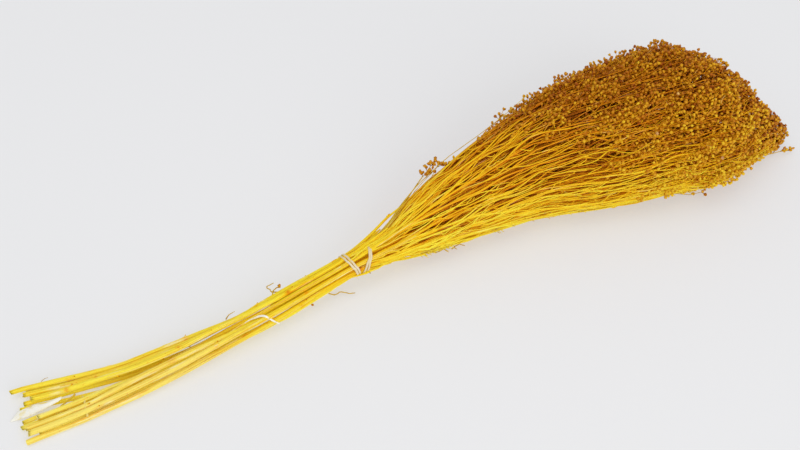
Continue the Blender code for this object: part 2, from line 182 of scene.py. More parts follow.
class Gathered:
    """Strands and other small parts gathered into one piece, with their paint.

    Each point carries its dye (how far it has turned from lemon to brown, with painted light and shade in
    places, a chance of its own, and how bare of dye it is) and its place in the straight grain of the stalk
    that it is part of.
    """

    # How far apart in the grain strands lie, times their chance.
    APART = 977.0

    def __init__(self):
        self.points, self.faces, self.dye, self.grain, self.count = [], [], [], [], 0

    def add(self, points, faces, dye, grain):
        points = points.reshape(-1, 3)
        self.points.append(points)
        self.faces.append(faces + self.count)
        self.dye.append(np.broadcast_to(dye, (*dye.shape[:-1], 3)).reshape(-1, 3))
        self.grain.append(grain.reshape(-1, 3))
        self.count += len(points)

    def add_strands(self, courses, radii, sides, tone, chance, bare, spin=0.0, closed=True):
        """Adds tubes round many strands at once; the paint is given per strand, or per place on it."""
        points = rings_along(courses, radii, sides, spin)
        shape = points.shape[:3]
        paint = np.zeros((*shape, 3))
        for k, value in enumerate((tone, chance, bare)):
            value = np.asarray(value, float)
            value = value.reshape(value.shape + (1,) * (3 - value.ndim))
            paint[..., k] = np.broadcast_to(value, shape)
        turn = 2 * math.pi * np.arange(sides) / sides
        length = np.broadcast_to(length_along(courses)[..., None], shape)
        wide = np.broadcast_to(radii[..., None] if radii.ndim == 2 else radii, shape)
        grain = np.stack([length, wide * np.cos(turn), wide * np.sin(turn)], -1)
        grain = grain + (paint[..., 1:2] * self.APART + self.count % 89)
        self.add(points, skin_of(*shape, closed), paint, grain)

    def piece(self, name, finish):
        """The object, with smooth faces and the finish on it."""
        points = np.concatenate(self.points) * MM
        points[:, 2] = np.maximum(points[:, 2], TABLE_GAP * MM)
        faces = np.concatenate(self.faces).astype(np.int32)
        mesh = bpy.data.meshes.new(name)
        mesh.vertices.add(len(points))
        mesh.vertices.foreach_set("co", points.ravel())
        mesh.loops.add(faces.size)
        mesh.loops.foreach_set("vertex_index", faces.ravel())
        mesh.polygons.add(len(faces))
        mesh.polygons.foreach_set("loop_start", np.arange(0, faces.size, 3, dtype=np.int32))
        mesh.update(calc_edges=True)
        mesh.shade_smooth()
        dye = np.concatenate([np.concatenate(self.dye), np.ones((len(points), 1))], axis=1)
        mesh.attributes.new("dye", "FLOAT_COLOR", "POINT").data.foreach_set("color", dye.ravel())
        mesh.attributes.new("grain", "FLOAT_VECTOR", "POINT").data.foreach_set(
            "vector", np.concatenate(self.grain).ravel())
        mesh.materials.append(finish)
        made = bpy.data.objects.new(name, mesh)
        bpy.context.scene.collection.objects.link(made)
        return made


class Link:
    """A value or colour on its way between a finish's nodes, so that its maths can be written out."""

    def __init__(self, finish, socket):
        self.finish, self.socket = finish, socket

    def maths(self, operation, *values):
        sockets = dict(zip(("Value", "Value_001", "Value_002"), values))
        return self.finish.node("ShaderNodeMath", {"operation": operation}, sockets)

    def __add__(self, other):
        return self.maths("ADD", self, other)

    __radd__ = __add__

    def __sub__(self, other):
        return self.maths("SUBTRACT", self, other)

    def __rsub__(self, other):
        return self.maths("SUBTRACT", other, self)

    def __mul__(self, other):
        return self.maths("MULTIPLY", self, other)

    __rmul__ = __mul__

    def between(self, low, high):
        """0 below the low mark and 1 above the high one, eased between them."""
        return self.finish.node(
            "ShaderNodeMapRange",
            {"interpolation_type": "SMOOTHSTEP"},
            {"Value": self, "From Min": low, "From Max": high},
        )


class Finish:
    """A finish and the nodes that paint it."""

    def __init__(self, name):
        self.material = bpy.data.materials.new(name)
        self.material.use_nodes = True
        self.nodes = self.material.node_tree.nodes
        self.links = self.material.node_tree.links
        self.shader = self.nodes["Principled BSDF"]

    def fill(self, node, sockets):
        for key, value in sockets.items():
            socket = next(s for s in node.inputs if key in (s.identifier, s.name) and s.enabled)
            if isinstance(value, Link):
                self.links.new(value.socket, socket)
            else:
                socket.default_value = value

    def node(self, kind, settings, sockets, output=None):
        """A node with its settings, such as a ramp's stops, then the values or links of its sockets."""
        made = self.nodes.new(kind)
        for key, value in settings.items():
            if key == "stops":
                while len(made.color_ramp.elements) < len(value):
                    made.color_ramp.elements.new(0.5)
                for stop, (place, colour) in zip(made.color_ramp.elements, value):
                    stop.position, stop.color = place, (*colour, 1)
            else:
                setattr(made, key, value)
        self.fill(made, sockets)
        shown = [s for s in made.outputs if s.enabled]
        return Link(self, shown[0] if output is None else next(s for s in shown if s.name == output))

    def painted(self, name, output):
        return self.node("ShaderNodeAttribute", {"attribute_name": name}, {}, output)

    def channels(self, colour):
        split = self.node("ShaderNodeSeparateColor", {}, {"Color": colour}).socket.node
        return [Link(self, split.outputs[k]) for k in range(3)]

    def stretched(self, places, scale):
        return self.node("ShaderNodeMapping", {"vector_type": "POINT"}, {"Vector": places, "Scale": scale})

    def noise(self, places, scale, detail=3.0, roughness=0.55):
        """Cloudy grain between 0 and 1."""
        sockets = {"Vector": places, "Scale": scale, "Detail": detail, "Roughness": roughness}
        return self.node("ShaderNodeTexNoise", {}, sockets, "Fac")

    def mixed(self, share, a, b, how="MIX"):
        """A colour part of the way from a to b, or b laid over a in another way."""
        colours = {
            "Factor_Float": share,
            "A_Color": a if isinstance(a, Link) else (*a, 1),
            "B_Color": b if isinstance(b, Link) else (*b, 1),
        }
        return self.node("ShaderNodeMix", {"data_type": "RGBA", "blend_type": how}, colours)

    def bump(self, height, depth, strength):
        return self.node("ShaderNodeBump", {}, {"Height": height, "Distance": depth, "Strength": strength})

    def done(self, **sockets):
        self.fill(self.shader, {key.replace("_", " "): value for key, value in sockets.items()})
        return self.material


# Lemon where the dye sits bright and thick, through golden, to the tan and brown of the wood under it;
# painted shade moves the paint along the same stops towards brown.
DYE_STOPS = (
    (0.0, (0.91, 0.78, 0.045)),
    (0.25, (0.88, 0.57, 0.007)),
    (0.5, (0.82, 0.32, 0.002)),
    (0.75, (0.62, 0.165, 0.001)),
    (1.0, (0.26, 0.055, 0.001)),
)
BARE_STALK = (0.93, 0.82, 0.42)


def stalk_finish(name, across, along, streak, pale, speck, varied, underside_shade, through, stops=DYE_STOPS):
    """Dyed stalk skin: streaked along its grain, thin over scrapes, with small dark specks and cracks.

    The streaks lie across and along the grain at the scales given. Where the stalks face down towards the
    table they are painted browner, as painted shade. A faint painted glow stands in for the light that comes
    through thin stalks: they give off a little light of their own colour, tinted by the colour passed as
    through, and less of it where they are browner.
    """
    finish = Finish(name)
    tone, chance, bare = finish.channels(finish.painted("dye", "Color"))
    grain = finish.painted("grain", "Vector")
    streaks = finish.noise(finish.stretched(grain, (along, across, across)), 1.0, 4.0, 0.6)
    patches = finish.noise(finish.stretched(grain, (along * 0.6, across * 0.35, across * 0.35)), 1.0, 2.0)
    cracks = finish.noise(finish.stretched(grain, (along * 1.6, across * 2.2, across * 2.2)), 1.0, 2.0)
    specks = finish.noise(finish.stretched(grain, (0.55, 1.1, 1.1)), 1.0, 2.0)
    dark = specks.between(0.66, 0.74) * speck + cracks.between(0.6, 0.7) * 0.3
    facing = finish.node("ShaderNodeNewGeometry", {}, {}, "Normal")
    rise = finish.node("ShaderNodeSeparateXYZ", {}, {"Vector": facing}, "Z")
    # Painted shade: the stalk is painted browner where it faces down, more so where it is browner already.
    sunk = (0.75 - rise).between(0.0, 1.1) * (tone * 1.5 + 0.12).between(0.0, 1.0) * underside_shade
    turned = tone + (streaks - 0.5) * streak + (chance - 0.5) * varied + dark + sunk
    dyed = finish.node("ShaderNodeValToRGB", {"stops": stops}, {"Fac": turned}, "Color")
    scraped = (patches + streaks * 0.35).between(0.79, 0.94) * pale + bare
    colour = finish.mixed(scraped, dyed, BARE_STALK)
    # Painted glow: the stalk gives off a little light of its own colour, tinted by through, less where it is
    # browner.
    painted_glow_tint = finish.mixed(1.0, colour, through, "MULTIPLY")
    painted_glow = finish.mixed((0.8 - tone).between(0.0, 0.66), (0.0, 0.0, 0.0), painted_glow_tint)
    height = streaks + specks.between(0.6, 0.75) * 0.5 - cracks.between(0.58, 0.7) * 0.4
    return finish.done(
        Base_Color=colour,
        Roughness=0.42 + streaks * 0.3,
        Normal=finish.bump(height, 0.00025, 0.6),
        Specular_IOR_Level=0.14,
        Emission_Color=painted_glow,
        Emission_Strength=1.0,
    )


def stem_course(node):
    """A stem's middle and radius at even steps from its cut end, with the corners of the solid rounded."""
    corners = np.array([corner[0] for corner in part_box(node)]) / MM
    xs = np.arange(corners[0] + 0.6, corners[1] - 0.3, STEM_STEP)
    rows = cut_across(node, xs)
    middle, half = eased(rows[:, :2], 3), eased(rows[:, 2:], 5).mean(axis=1)
    return np.column_stack([xs, middle]), half


def stub(gathered, place, heading, length, radius, tone):
    """What is left of a side twig: a short broken stump that leans towards the head."""
    t = np.linspace(0, 1, 5)[:, None]
    course = place + heading * length * t + np.array([0.4, 0, 0]) * length * t**2
    radii = radius * np.array([[1.5, 1.05, 0.9, 0.85, 0.5]])
    gathered.add_strands(course[None], radii, 6, np.array([[tone, tone, tone, tone + 0.2, 0.8]]), 0.4, 0.0)


def near_side(x, y):
    """1 on the near side of the fanned stems, and 0 in their middle and beyond."""
    return np.clip((np.interp(x, *NEAR_EDGE) - y) / 12, 0, 1)


random = np.random.default_rng(31)
# The stems get a little painted shade on their undersides and a faint lemon painted glow.
stem_skin = stalk_finish(
    "dyed stem", across=1.3, along=0.045, streak=0.34, pale=0.85, speck=0.36, varied=0.14, underside_shade=0.08,
    through=(0.088, 0.092, 0.016))
stem_lines, stem_scars = {}, {}
for node in STEM_NODES:
    line, half = stem_course(node)
    length = line[:, 0] - line[0, 0]
    scars = np.cumsum(random.uniform(*SCAR_EVERY, 14))
    scars = scars[scars < length[-1] - 12]
    kinks = random.normal(0, SCAR_KINK, (len(scars) + 2, 2))
    free = (1 - np.exp(-(((line[:, 0] - BAND_X) / 30) ** 2))) * np.clip(length / 10, 0, 1)
    for k in (0, 1):
        zigzag = np.interp(length, [0, *scars, length[-1]], kinks[:, k])
        bend = STEM_BEND * np.sin(length / random.uniform(12, 30) + random.uniform(0, FULL_TURN))
        line[:, 1 + k] += (zigzag + bend) * free
    line[:, 2] = np.maximum(line[:, 2], half + 0.1)
    stem_lines[node], stem_scars[node] = (line, half), scars

# The middle of all the stems, along the bunch.
bunch_line = np.array([
    [x, *(np.mean([np.interp(x, line[:, 0], line[:, k]) for line, _ in stem_lines.values()]) for k in (1, 2))]
    for x in range(-320, 12, 4)])
sides = np.arange(STEM_SIDES)
turn = 2 * math.pi * sides / STEM_SIDES
cut, cut_brown, cut_bare = np.array(CUT_FACE).T


def stem_side(length, scars, phase):
    """The side of a stem: its grooves, how far it stands out beyond its radius, and how scarred it is."""
    groove = 0.55 + 0.6 * np.sin(length[:, None] / 17 + phase[0] + 2.3 * sides)
    groove = (sides % SIDES_PER_RIB == 0) * GROOVE * np.clip(groove, 0, 1)
    around = STEM_WAVER * np.cos(2 * turn + phase[1] + 0.03 * length[:, None]) - groove
    around = around + 0.02 * random.standard_normal((len(length), STEM_SIDES))
    swell, scarred = np.zeros_like(around), np.zeros_like(around)
    for k, scar in enumerate(scars):
        facing = (0.5 + 0.5 * np.cos(turn - phase[2] - SCAR_TURN * k)) ** 2
        near = np.exp(-(((length[:, None] - scar) / SCAR_LENGTH) ** 2))
        swell += SCAR_SWELL * near * (0.35 + facing)
        scarred += near * facing
    return groove, 1 + around + swell, np.clip(scarred, 0, 1)


def add_bark_remains(tone, line):
    """Browns a stem where ragged remains of bark hang on it."""
    off_middle = line[:, 1:] - at_x(line[:, 0], bunch_line)
    lies = np.arctan2(off_middle[:, 1], off_middle[:, 0])
    for place, long, facing, brown in BARK_REMAINS:
        facing = math.radians(facing)
        there = np.exp(-(((line[:, 0] - place) / long) ** 4) + (np.cos(lies - facing) - 1) / 0.12)
        ragged = 0.5 + 0.5 * np.sin(line[:, :1] * 1.7 + 3 * np.sin(2.9 * turn) + place)
        tone += brown * there[:, None] * np.exp((np.cos(turn - facing) - 1) / 0.5) * ragged


def bare_of_dye(line, length, groove, thin):
    """How bare of dye a stem is, where it is thin and where it is scraped."""
    thinner = thin * np.clip((THIN_TO - line[:, 0]) / THIN_OVER, 0, 1)
    bare = thinner[:, None] * (1 - groove / GROOVE * 0.5)
    for _ in range(random.integers(*SCRAPES)):
        from_middle = length - random.uniform(4, length[-1] * 0.8)
        patch = np.exp(-((from_middle / random.uniform(*SCRAPE_LENGTH)) ** 4))
        facing = np.exp((np.cos(turn - random.uniform(0, FULL_TURN)) - 1) / 0.1)
        bare += SCRAPE_BARE * patch[:, None] * facing
    return np.clip(bare, 0, MOST_BARE)


def with_cut(face, side):
    """What holds on the rings of the cut face, then what holds on the side of the stem."""
    return np.concatenate([np.broadcast_to(face[:, None], (len(face), STEM_SIDES)), side])


def cut_on_slant(points, whole, half):
    """Leans the cut face to one side, and the stem just behind it with it."""
    slope = math.tan(math.radians(random.uniform(*CUT_SLANT)))
    slant_side = random.uniform(-1, 1) + math.pi * random.integers(0, 2)
    points = points.reshape(len(whole), STEM_SIDES, 3)
    offset = points[:, :, 1:] - whole[:, None, 1:]
    lean = offset @ np.array([math.sin(slant_side), math.cos(slant_side)]) * slope
    fades = np.clip(1 - (whole[:, 0] - whole[len(cut), 0]) / SLANT_FADES, 0, 1)[:, None]
    points[:, :, 0] += (np.abs(half[0] * slope) + lean) * fades


def add_stubs(gathered, line, half, length, scars, first_turn):
    """Adds the stumps of side twigs at most of a stem's scars."""
    for k, scar in enumerate(scars):
        if random.random() < STUB_CHANCE:
            angle = first_turn + SCAR_TURN * k
            at = np.searchsorted(length, scar)
            place, r = line[at], half[at]
            out = np.array([0.0, math.cos(angle), math.sin(angle)])
            heading = out * 0.8 + np.array([0.6, 0, 0])
            rise = random.uniform(*STUB_LENGTH)
            if place[2] + out[2] * (r + rise) > 0.6 and abs(place[0] - BAND_X) > 22:
                stub(gathered, place + out * r * 0.7, heading, rise, random.uniform(*STUB_SIZE), 0.2)


def add_shoots(gathered, line, half, length, thin):
    """Adds slim side shoots, which lie along the outside of the stem."""
    for _ in range(SHOOTS_PER_STEM):
        first = random.uniform(8, length[-1] * 0.75)
        last = min(first + random.uniform(35, 150), length[-1] - 2)
        mine = (length > first) & (length < last)
        if mine.sum() < 8:
            continue
        run = line[mine]
        ways = run[:, 1:] - at_x(run[:, 0], bunch_line)
        angle = np.arctan2(ways[:, 1], ways[:, 0]).mean() + random.normal(0, 0.7)
        angle = angle + 0.4 * np.sin(run[:, 0] / random.uniform(14, 30) + random.uniform(0, FULL_TURN))
        size = random.uniform(*SHOOT_SIZE)
        t = np.linspace(0, 1, len(run))
        proud = 0.75 - 1.6 * np.clip(t * 6 - 5, 0, 1) - 1.2 * np.clip(1 - t * 8, 0, 1)
        lift = half[mine] * 0.86 + size * proud
        course = run + facing_out(angle) * lift[:, None]
        course[:, 2] = np.maximum(course[:, 2], size + 0.05)
        tone = random.uniform(0.0, 0.3) + np.zeros(len(run))
        radii = size * (1 - 0.35 * t)
        chance = random.random()
        bare = 0.25 * random.random() + 0.5 * thin[mine] * (run[:, 0] < THIN_TO)
        gathered.add_strands(course[None], radii[None], 6, tone[None], chance, bare[None])
        shoots.append((course, np.full(len(course), size)))


shoots = []
for node in STEM_NODES:
    line, half = stem_lines[node]
    length = line[:, 0] - line[0, 0]
    phase = random.uniform(0, 2 * math.pi, 3)
    groove, stands_out, scarred = stem_side(length, stem_scars[node], phase)
    neck = np.clip((line[:, 0] - NECK_FROM) / (line[-1, 0] - NECK_FROM), 0, 1)
    radii = (half * (1 - NECK_TAPER * neck))[:, None] * stands_out
    tone = 0.06 * random.random() + np.zeros_like(groove)
    # Scars are browner; the grooves are painted darker, as painted shade.
    tone += SCAR_BROWN * scarred + GROOVE_SHADE * groove
    tone += BROWNER_BY * np.clip((line[:, :1] - BROWNER_FROM) / BROWNER_OVER, 0, 1)
    add_bark_remains(tone, line)
    thin = THIN_NEAR * near_side(line[:, 0], line[:, 1]) + THIN_ALL
    bare = bare_of_dye(line, length, groove, thin)
    # The rings of the cut face stand just off the end of the stem, so that it is slightly domed.
    face_line = line[0] - np.array([1.0, 0, 0]) * np.linspace(0.14, 0.02, len(cut))[:, None]
    whole = np.concatenate([face_line, line])
    radii = np.concatenate([cut[:, None] * radii[0], radii])
    tone, bare = with_cut(cut_brown, tone), with_cut(cut_bare, bare)
    gathered = Gathered()
    gathered.add_strands(whole[None], radii[None], STEM_SIDES, tone[None], random.random(), bare[None])
    cut_on_slant(gathered.points[0], whole, half)
    add_stubs(gathered, line, half, length, stem_scars[node], phase[2])
    add_shoots(gathered, line, half, length, thin)
    stem = gathered.piece(f"cut_{node}", stem_skin)
    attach(stem, "root")
    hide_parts(node)

# The forks and twigs: above the band each stem divides into two or three wiry leaders, which throw off
# finer side branches and hair-thin twigs all the way to the head's edge. They are dyed like the stems.

BRANCH_NODES = sorted(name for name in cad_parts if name.startswith("branch_"))
# The head's outline, in millimetres: x, its middle and half width across, its underside and its top.
HEAD_OUTLINE = (
    (-58, -3, 8, 14, 30),
    (-26, 0.4, 12.2, 9, 34.5),
    (-6, 3.8, 20.2, 7, 45),
    (9, 6.0, 23.2, 5, 50.5),
    (49, 10.2, 31.5, 3.5, 64.5),
    (89, 13.0, 39.0, 1, 77),
    (129, 10.2, 50.6, 0, 85.5),
    (169, 6.3, 57.7, 0, 89.5),
    (190, 4.9, 59.4, 0, 90),
    (209, 1.0, 63.8, 0, 93),
    (226, -1.0, 62.6, 0, 94),
    (239, -3, 59.5, 0, 89),
    (264, -5.8, 46.8, 0, 77),
    (284, -23.4, 21.8, 0, 50),
    (295, -29, 13.2, 2, 36),
    (302, -29.2, 9.6, 4, 26),
)
# Beyond the broadest section the strands go on spreading, and end where they meet the outline.
HEAD_FAN = (*HEAD_OUTLINE[:10], (303, -8.7, 67.5, 0, 98.5))
# How high the widest part of a section is, and how square the section is above and below it.
BAND_WAIST, HEAD_WAIST, WAIST_DROPS_OVER = 0.5, 0.36, 110.0
ROUND_ABOVE, ROUND_BELOW = 2.1, 2.6
KEPT_WITHIN, INNER_WITHIN = 0.97, 0.93
# How brown the stalks are: at the band and further along; how this differs round the head and how much less
# brown they are low on the near side, partly the dye itself and partly painted light and shade; how much more
# in the depth of the head, as painted shade; and at most.
BROWN_AT_BAND, BROWN_ALONG, BROWN_ROUND_DYE_AND_LIGHT = 0.1, 0.21, 0.18
BROWN_LESS_DYE_AND_LIGHT, BROWN_DEEP_SHADE, BROWN_MOST = 0.12, 0.37, 0.95
# From high on the far side to low on the near side: where the buds begin, and over how far they fill in.
BUDS_BEGIN = ((-1, -0.45, 0.0, 0.5, 1), (45, 72, 95, 118, 158))
BUDS_FILL_IN = ((-1, 0, 1), (85, 115, 135))
# Radii along the bunch.
LEADER_SIZE = ((-30, 10, 70, 130, 300), (0.98, 0.86, 0.64, 0.5, 0.28))
SIDE_SIZE = ((-20, 60, 130, 220, 300), (0.76, 0.58, 0.42, 0.3, 0.22))
SIDE_BRANCHES, SIDE_PLACES, FEEDS_FROM = 820, 23, 125.0
OUTSIDE_SHARE, OUTSIDE_REACH, INSIDE_REACH = 0.56, (0.74, 0.98), 0.9
EARLY_SHARE, EARLY_STARTS, EARLY_JOINS, LATE_JOINS = 0.46, (-82, -2), (16, 46), (38, 85)
SIDE_THICK, THICKER_SHARE, THICKER_BY = (0.62, 1.05), 0.14, 0.6
# The waves in a side branch: how wide they swing, and their longest and shortest.
SIDE_WAVES = ((2.4, 170, 90), (1.6, 66, 36))
INNER_STALKS, INNER_PLACES, INNER_SIZE = 620, 11, (0.48, 0.26)
# Where the inner stalks start, how long they are, and how much browner they are painted, as painted shade.
INNER_STARTS, INNER_LENGTH, INNER_SHADE_BROWN = (-2, 30), (90, 235), 0.26


def head_section(table, x):
    """The head's section at each x: its middle, half width, waist, underside and top."""
    rows = np.array(table, float).T
    middle, half, low, high = (np.interp(x, rows[0], rows[k]) for k in (1, 2, 3, 4))
    share = np.clip((x - BAND_X) / WAIST_DROPS_OVER, 0, 1)
    return middle, half, low + (high - low) * (BAND_WAIST + (HEAD_WAIST - BAND_WAIST) * share), low, high


def smooth(share):
    """A share between 0 and 1, with a soft start and end."""
    return share * share * (3 - 2 * share)


def lane_place(x, lane):
    """Where a lane of the spreading head runs at x; (0, 0) is the head's middle and its edge is at 1."""
    middle, half, waist, low, high = head_section(HEAD_FAN, x)
    tall = np.where(lane[..., 1] > 0, high - waist, waist - low)
    return np.stack([middle + half * lane[..., 0], waist + tall * lane[..., 1]], axis=-1)


def how_far_out(x, places):
    """How far out places lie in the head's outline at x: 0 in the middle and 1 on the edge."""
    middle, half, waist, low, high = head_section(HEAD_OUTLINE, x)
    above = places[..., 1] > waist
    across = np.abs(places[..., 0] - middle) / half
    up = np.abs(places[..., 1] - waist) / np.where(above, high - waist, waist - low)
    power = np.where(above, ROUND_ABOVE, ROUND_BELOW)
    return (across**power + up**power) ** (1 / power)


def kept_in(courses, within=KEPT_WITHIN):
    """Strands pulled back to the inside of the head's outline wherever they would leave it."""
    x, places = courses[..., 0], courses[..., 1:].copy()
    middle, half, waist, low, high = head_section(HEAD_OUTLINE, x)
    share = np.minimum(1, within / np.maximum(how_far_out(x, places), 1e-3))
    centre = np.stack([middle, waist], axis=-1)
    places = centre + (places - centre) * share[..., None]
    return np.concatenate([x[..., None], places], axis=-1)


def edge_lane(angle):
    """The lane on the edge of the head at each angle round it."""
    c, s = np.cos(angle), np.sin(angle)
    power = np.where(s > 0, ROUND_ABOVE, ROUND_BELOW)
    reach = (np.abs(c) ** power + np.abs(s) ** power) ** (-1 / power)
    return np.stack([reach * c, reach * s], axis=-1)


def brown_of_dye_and_shade(x, places):
    """How far the paint turns from lemon to brown, partly painted light and shade: least low near, most high
    beyond.
    """
    middle, half, waist, low, high = head_section(HEAD_OUTLINE, x)
    near = -(places[..., 0] - middle) / np.maximum(half, 12)
    up = (places[..., 1] - waist) / np.maximum((high - low) / 2, 12)
    # Less brown low on the near side and browner high on the far side: partly the dye itself, partly painted
    # light low on the near side and painted shade high on the far side.
    low_near = np.clip(0.75 * near - 0.65 * up, -1, 1)
    along = np.clip((x + 30) / 130, 0, 1)
    # Deep inside the head the paint is browner, as painted shade.
    deep = np.clip((0.96 - how_far_out(x, places)) / 0.24, 0, 1) * np.clip((x + 45) / 50, 0, 1)
    turned = BROWN_AT_BAND + along * (BROWN_ALONG - BROWN_ROUND_DYE_AND_LIGHT * low_near)
    turned = turned - BROWN_LESS_DYE_AND_LIGHT * np.clip(low_near, 0, 1) + BROWN_DEEP_SHADE * deep
    return np.clip(turned, 0, BROWN_MOST)


def buds_start(x, places):
    """How likely buds are here: they begin early on the far side, and late low on the near side."""
    middle, half, waist, low, high = head_section(HEAD_OUTLINE, x)
    near = -(places[..., 0] - middle) / half
    up = (places[..., 1] - waist) / ((high - low) / 2)
    side = np.clip(0.8 * near - 0.55 * up, -1, 1)
    begins = np.interp(side, *BUDS_BEGIN)
    full = begins + np.interp(side, *BUDS_FILL_IN)
    return smooth(np.clip((x - begins) / (full - begins), 0, 1))


leaders = {}
for node in BRANCH_NODES:
    stem_line, _ = stem_lines["stem_" + node[7:9]]
    low, high = (corner[0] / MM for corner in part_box(node))
    xs = np.arange(low + 0.3, high - 0.4, 4.0)
    run = np.column_stack([xs, cut_across(node, xs)[:, :2]])
    before = stem_line[stem_line[:, 0] < low - 3.0][-32:]
    whole = np.concatenate([before, run])
    even = np.arange(whole[0, 0], whole[-1, 0], 4.5)
    leaders[node] = kept_in(np.column_stack([even, eased(at_x(even, whole), 3)]), INNER_WITHIN)

# The lanes that the side branches take: most run in the outside of the head, the rest fill it.
random = np.random.default_rng(47)
angles = 2 * math.pi * (np.arange(SIDE_BRANCHES) * 0.618034 % 1.0)
outer = random.random(SIDE_BRANCHES) < OUTSIDE_SHARE
in_outside = random.uniform(*OUTSIDE_REACH, SIDE_BRANCHES)
reach = np.where(outer, in_outside, INSIDE_REACH * np.sqrt(random.random(SIDE_BRANCHES)))
lanes = edge_lane(angles) * reach[:, None]
# Where each lane meets the outline, beyond the broadest section.
stations = np.arange(120.0, 303.0, 1.5)
at_edge = how_far_out(stations[None], lane_place(stations[None], lanes[:, None])) > 0.955
meets = np.where(at_edge.any(axis=1), stations[at_edge.argmax(axis=1)], stations[-1])

# Each belongs to a leader that runs near its lane where the head fills out, most to the nearest.
middle, half, waist, low, high = head_section(HEAD_OUTLINE, FEEDS_FROM)
leader_lanes = []
for node in BRANCH_NODES:
    y, z = at_x(FEEDS_FROM, leaders[node])
    tall = high - waist if z > waist else waist - low
    leader_lanes.append(((y - middle) / half, (z - waist) / tall))
leader_lanes = np.array(leader_lanes)
gaps = np.linalg.norm(lanes[:, None] * 0.86 - leader_lanes[None], axis=2)
rank = random.choice(4, SIDE_BRANCHES, p=(0.6, 0.2, 0.12, 0.08))
owners = gaps.argsort(axis=1)[np.arange(SIDE_BRANCHES), rank]

forks = np.array([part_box(node)[0][0] / MM for node in BRANCH_NODES])
starts = forks[owners] + np.where(
    random.random(SIDE_BRANCHES) < 0.62,
    random.uniform(2, 50, SIDE_BRANCHES),
    random.uniform(40, 125, SIDE_BRANCHES),
)
ends = meets - 1.0 - 95 * random.random(SIDE_BRANCHES) ** 2.6
# Some leave their stem as early as the band and lie on the outside of the neck.
early = outer & (random.random(SIDE_BRANCHES) < EARLY_SHARE)
starts = np.where(early, random.uniform(*EARLY_STARTS, SIDE_BRANCHES), np.minimum(starts, ends - 60))
side_x = starts[:, None] + (ends - starts)[:, None] * np.linspace(0, 1, SIDE_PLACES)
early_joins = random.uniform(*EARLY_JOINS, SIDE_BRANCHES)
joins = np.where(early, early_joins, random.uniform(*LATE_JOINS, SIDE_BRANCHES))
parted = smooth(np.clip((side_x - starts[:, None]) / joins[:, None], 0, 1))
strays = np.where(random.random((SIDE_BRANCHES, 1, 1)) < 0.4, 0.28, 0.09)
drift = random.normal(0, strays, (SIDE_BRANCHES, 1, 2)) * np.clip((side_x - 10) / 150, 0, 1)[..., None]
own_way = lane_place(side_x, lanes[:, None] + drift)
for k in (0, 1):
    for size, longest, shortest in SIDE_WAVES:
        wave = 2 * math.pi / random.uniform(shortest, longest, (SIDE_BRANCHES, 1))
        size = size * random.uniform(0.2, 1.5, (SIDE_BRANCHES, 1))
        own_way[..., k] += size * np.sin(side_x * wave + random.uniform(0, FULL_TURN, (SIDE_BRANCHES, 1)))
leader_way = np.empty_like(own_way)
for owner, node in enumerate(BRANCH_NODES):
    mine = owners == owner
    leader_way[mine] = at_x(side_x[mine], leaders[node])
side_way = leader_way * (1 - parted[..., None]) + own_way * parted[..., None]
side_thick = random.uniform(*SIDE_THICK, (SIDE_BRANCHES, 1))
side_thick = side_thick + THICKER_BY * (random.random((SIDE_BRANCHES, 1)) < THICKER_SHARE)
side_radii = np.interp(side_x, *SIDE_SIZE) * side_thick
side_way[..., 1] = np.maximum(side_way[..., 1], side_radii + 0.15)
side_courses = np.concatenate([side_x[..., None], side_way], axis=2)
sunk = KEPT_WITHIN - 0.09 * buds_start(side_x, side_way) * random.uniform(0, 1, (SIDE_BRANCHES, 1)) ** 0.5
side_courses = np.where(side_courses[..., :1] > -40, kept_in(side_courses, sunk), side_courses)
side_way = side_courses[..., 1:]
side_chance = random.random(SIDE_BRANCHES)

# Thin stalks fill the inside of the neck, so that no light comes through between the leaders; they are
# painted browner than the rest, as painted shade.
inner_owner = random.integers(0, len(BRANCH_NODES), INNER_STALKS)
inner_starts = forks[inner_owner] + random.uniform(*INNER_STARTS, INNER_STALKS)
inner_ends = inner_starts + random.uniform(*INNER_LENGTH, INNER_STALKS)
inner_x = inner_starts[:, None] + (inner_ends - inner_starts)[:, None] * np.linspace(0, 1, INNER_PLACES)
inner_lane = leader_lanes[inner_owner] + random.normal(0, 0.16, (INNER_STALKS, 2))
far = np.linalg.norm(inner_lane, axis=1, keepdims=True)
inner_lane *= np.minimum(1, 0.9 / np.maximum(far, 1e-6))
inner_parted = np.clip((inner_x - inner_starts[:, None]) / random.uniform(25, 70, (INNER_STALKS, 1)), 0, 1)
inner_parted = smooth(inner_parted)[..., None]
inner_way = lane_place(inner_x, np.broadcast_to(inner_lane[:, None], (*inner_x.shape, 2)))
wave = inner_x / random.uniform(9, 24, (INNER_STALKS, 1))
wave = np.sin(wave + random.uniform(0, FULL_TURN, (INNER_STALKS, 1)))
inner_way = inner_way + (random.uniform(0.3, 1.6, (INNER_STALKS, 1)) * wave)[..., None] * [1, 0.7]
for owner, node in enumerate(BRANCH_NODES):
    mine = inner_owner == owner
    part = inner_parted[mine]
    inner_way[mine] = at_x(inner_x[mine], leaders[node]) * (1 - part) + inner_way[mine] * part
inner_way[..., 1] = np.maximum(inner_way[..., 1], 0.6)
inner_courses = kept_in(np.concatenate([inner_x[..., None], inner_way], axis=2), INNER_WITHIN)
inner_radii = np.linspace(*INNER_SIZE, INNER_PLACES) * random.uniform(0.8, 1.25, (INNER_STALKS, 1))

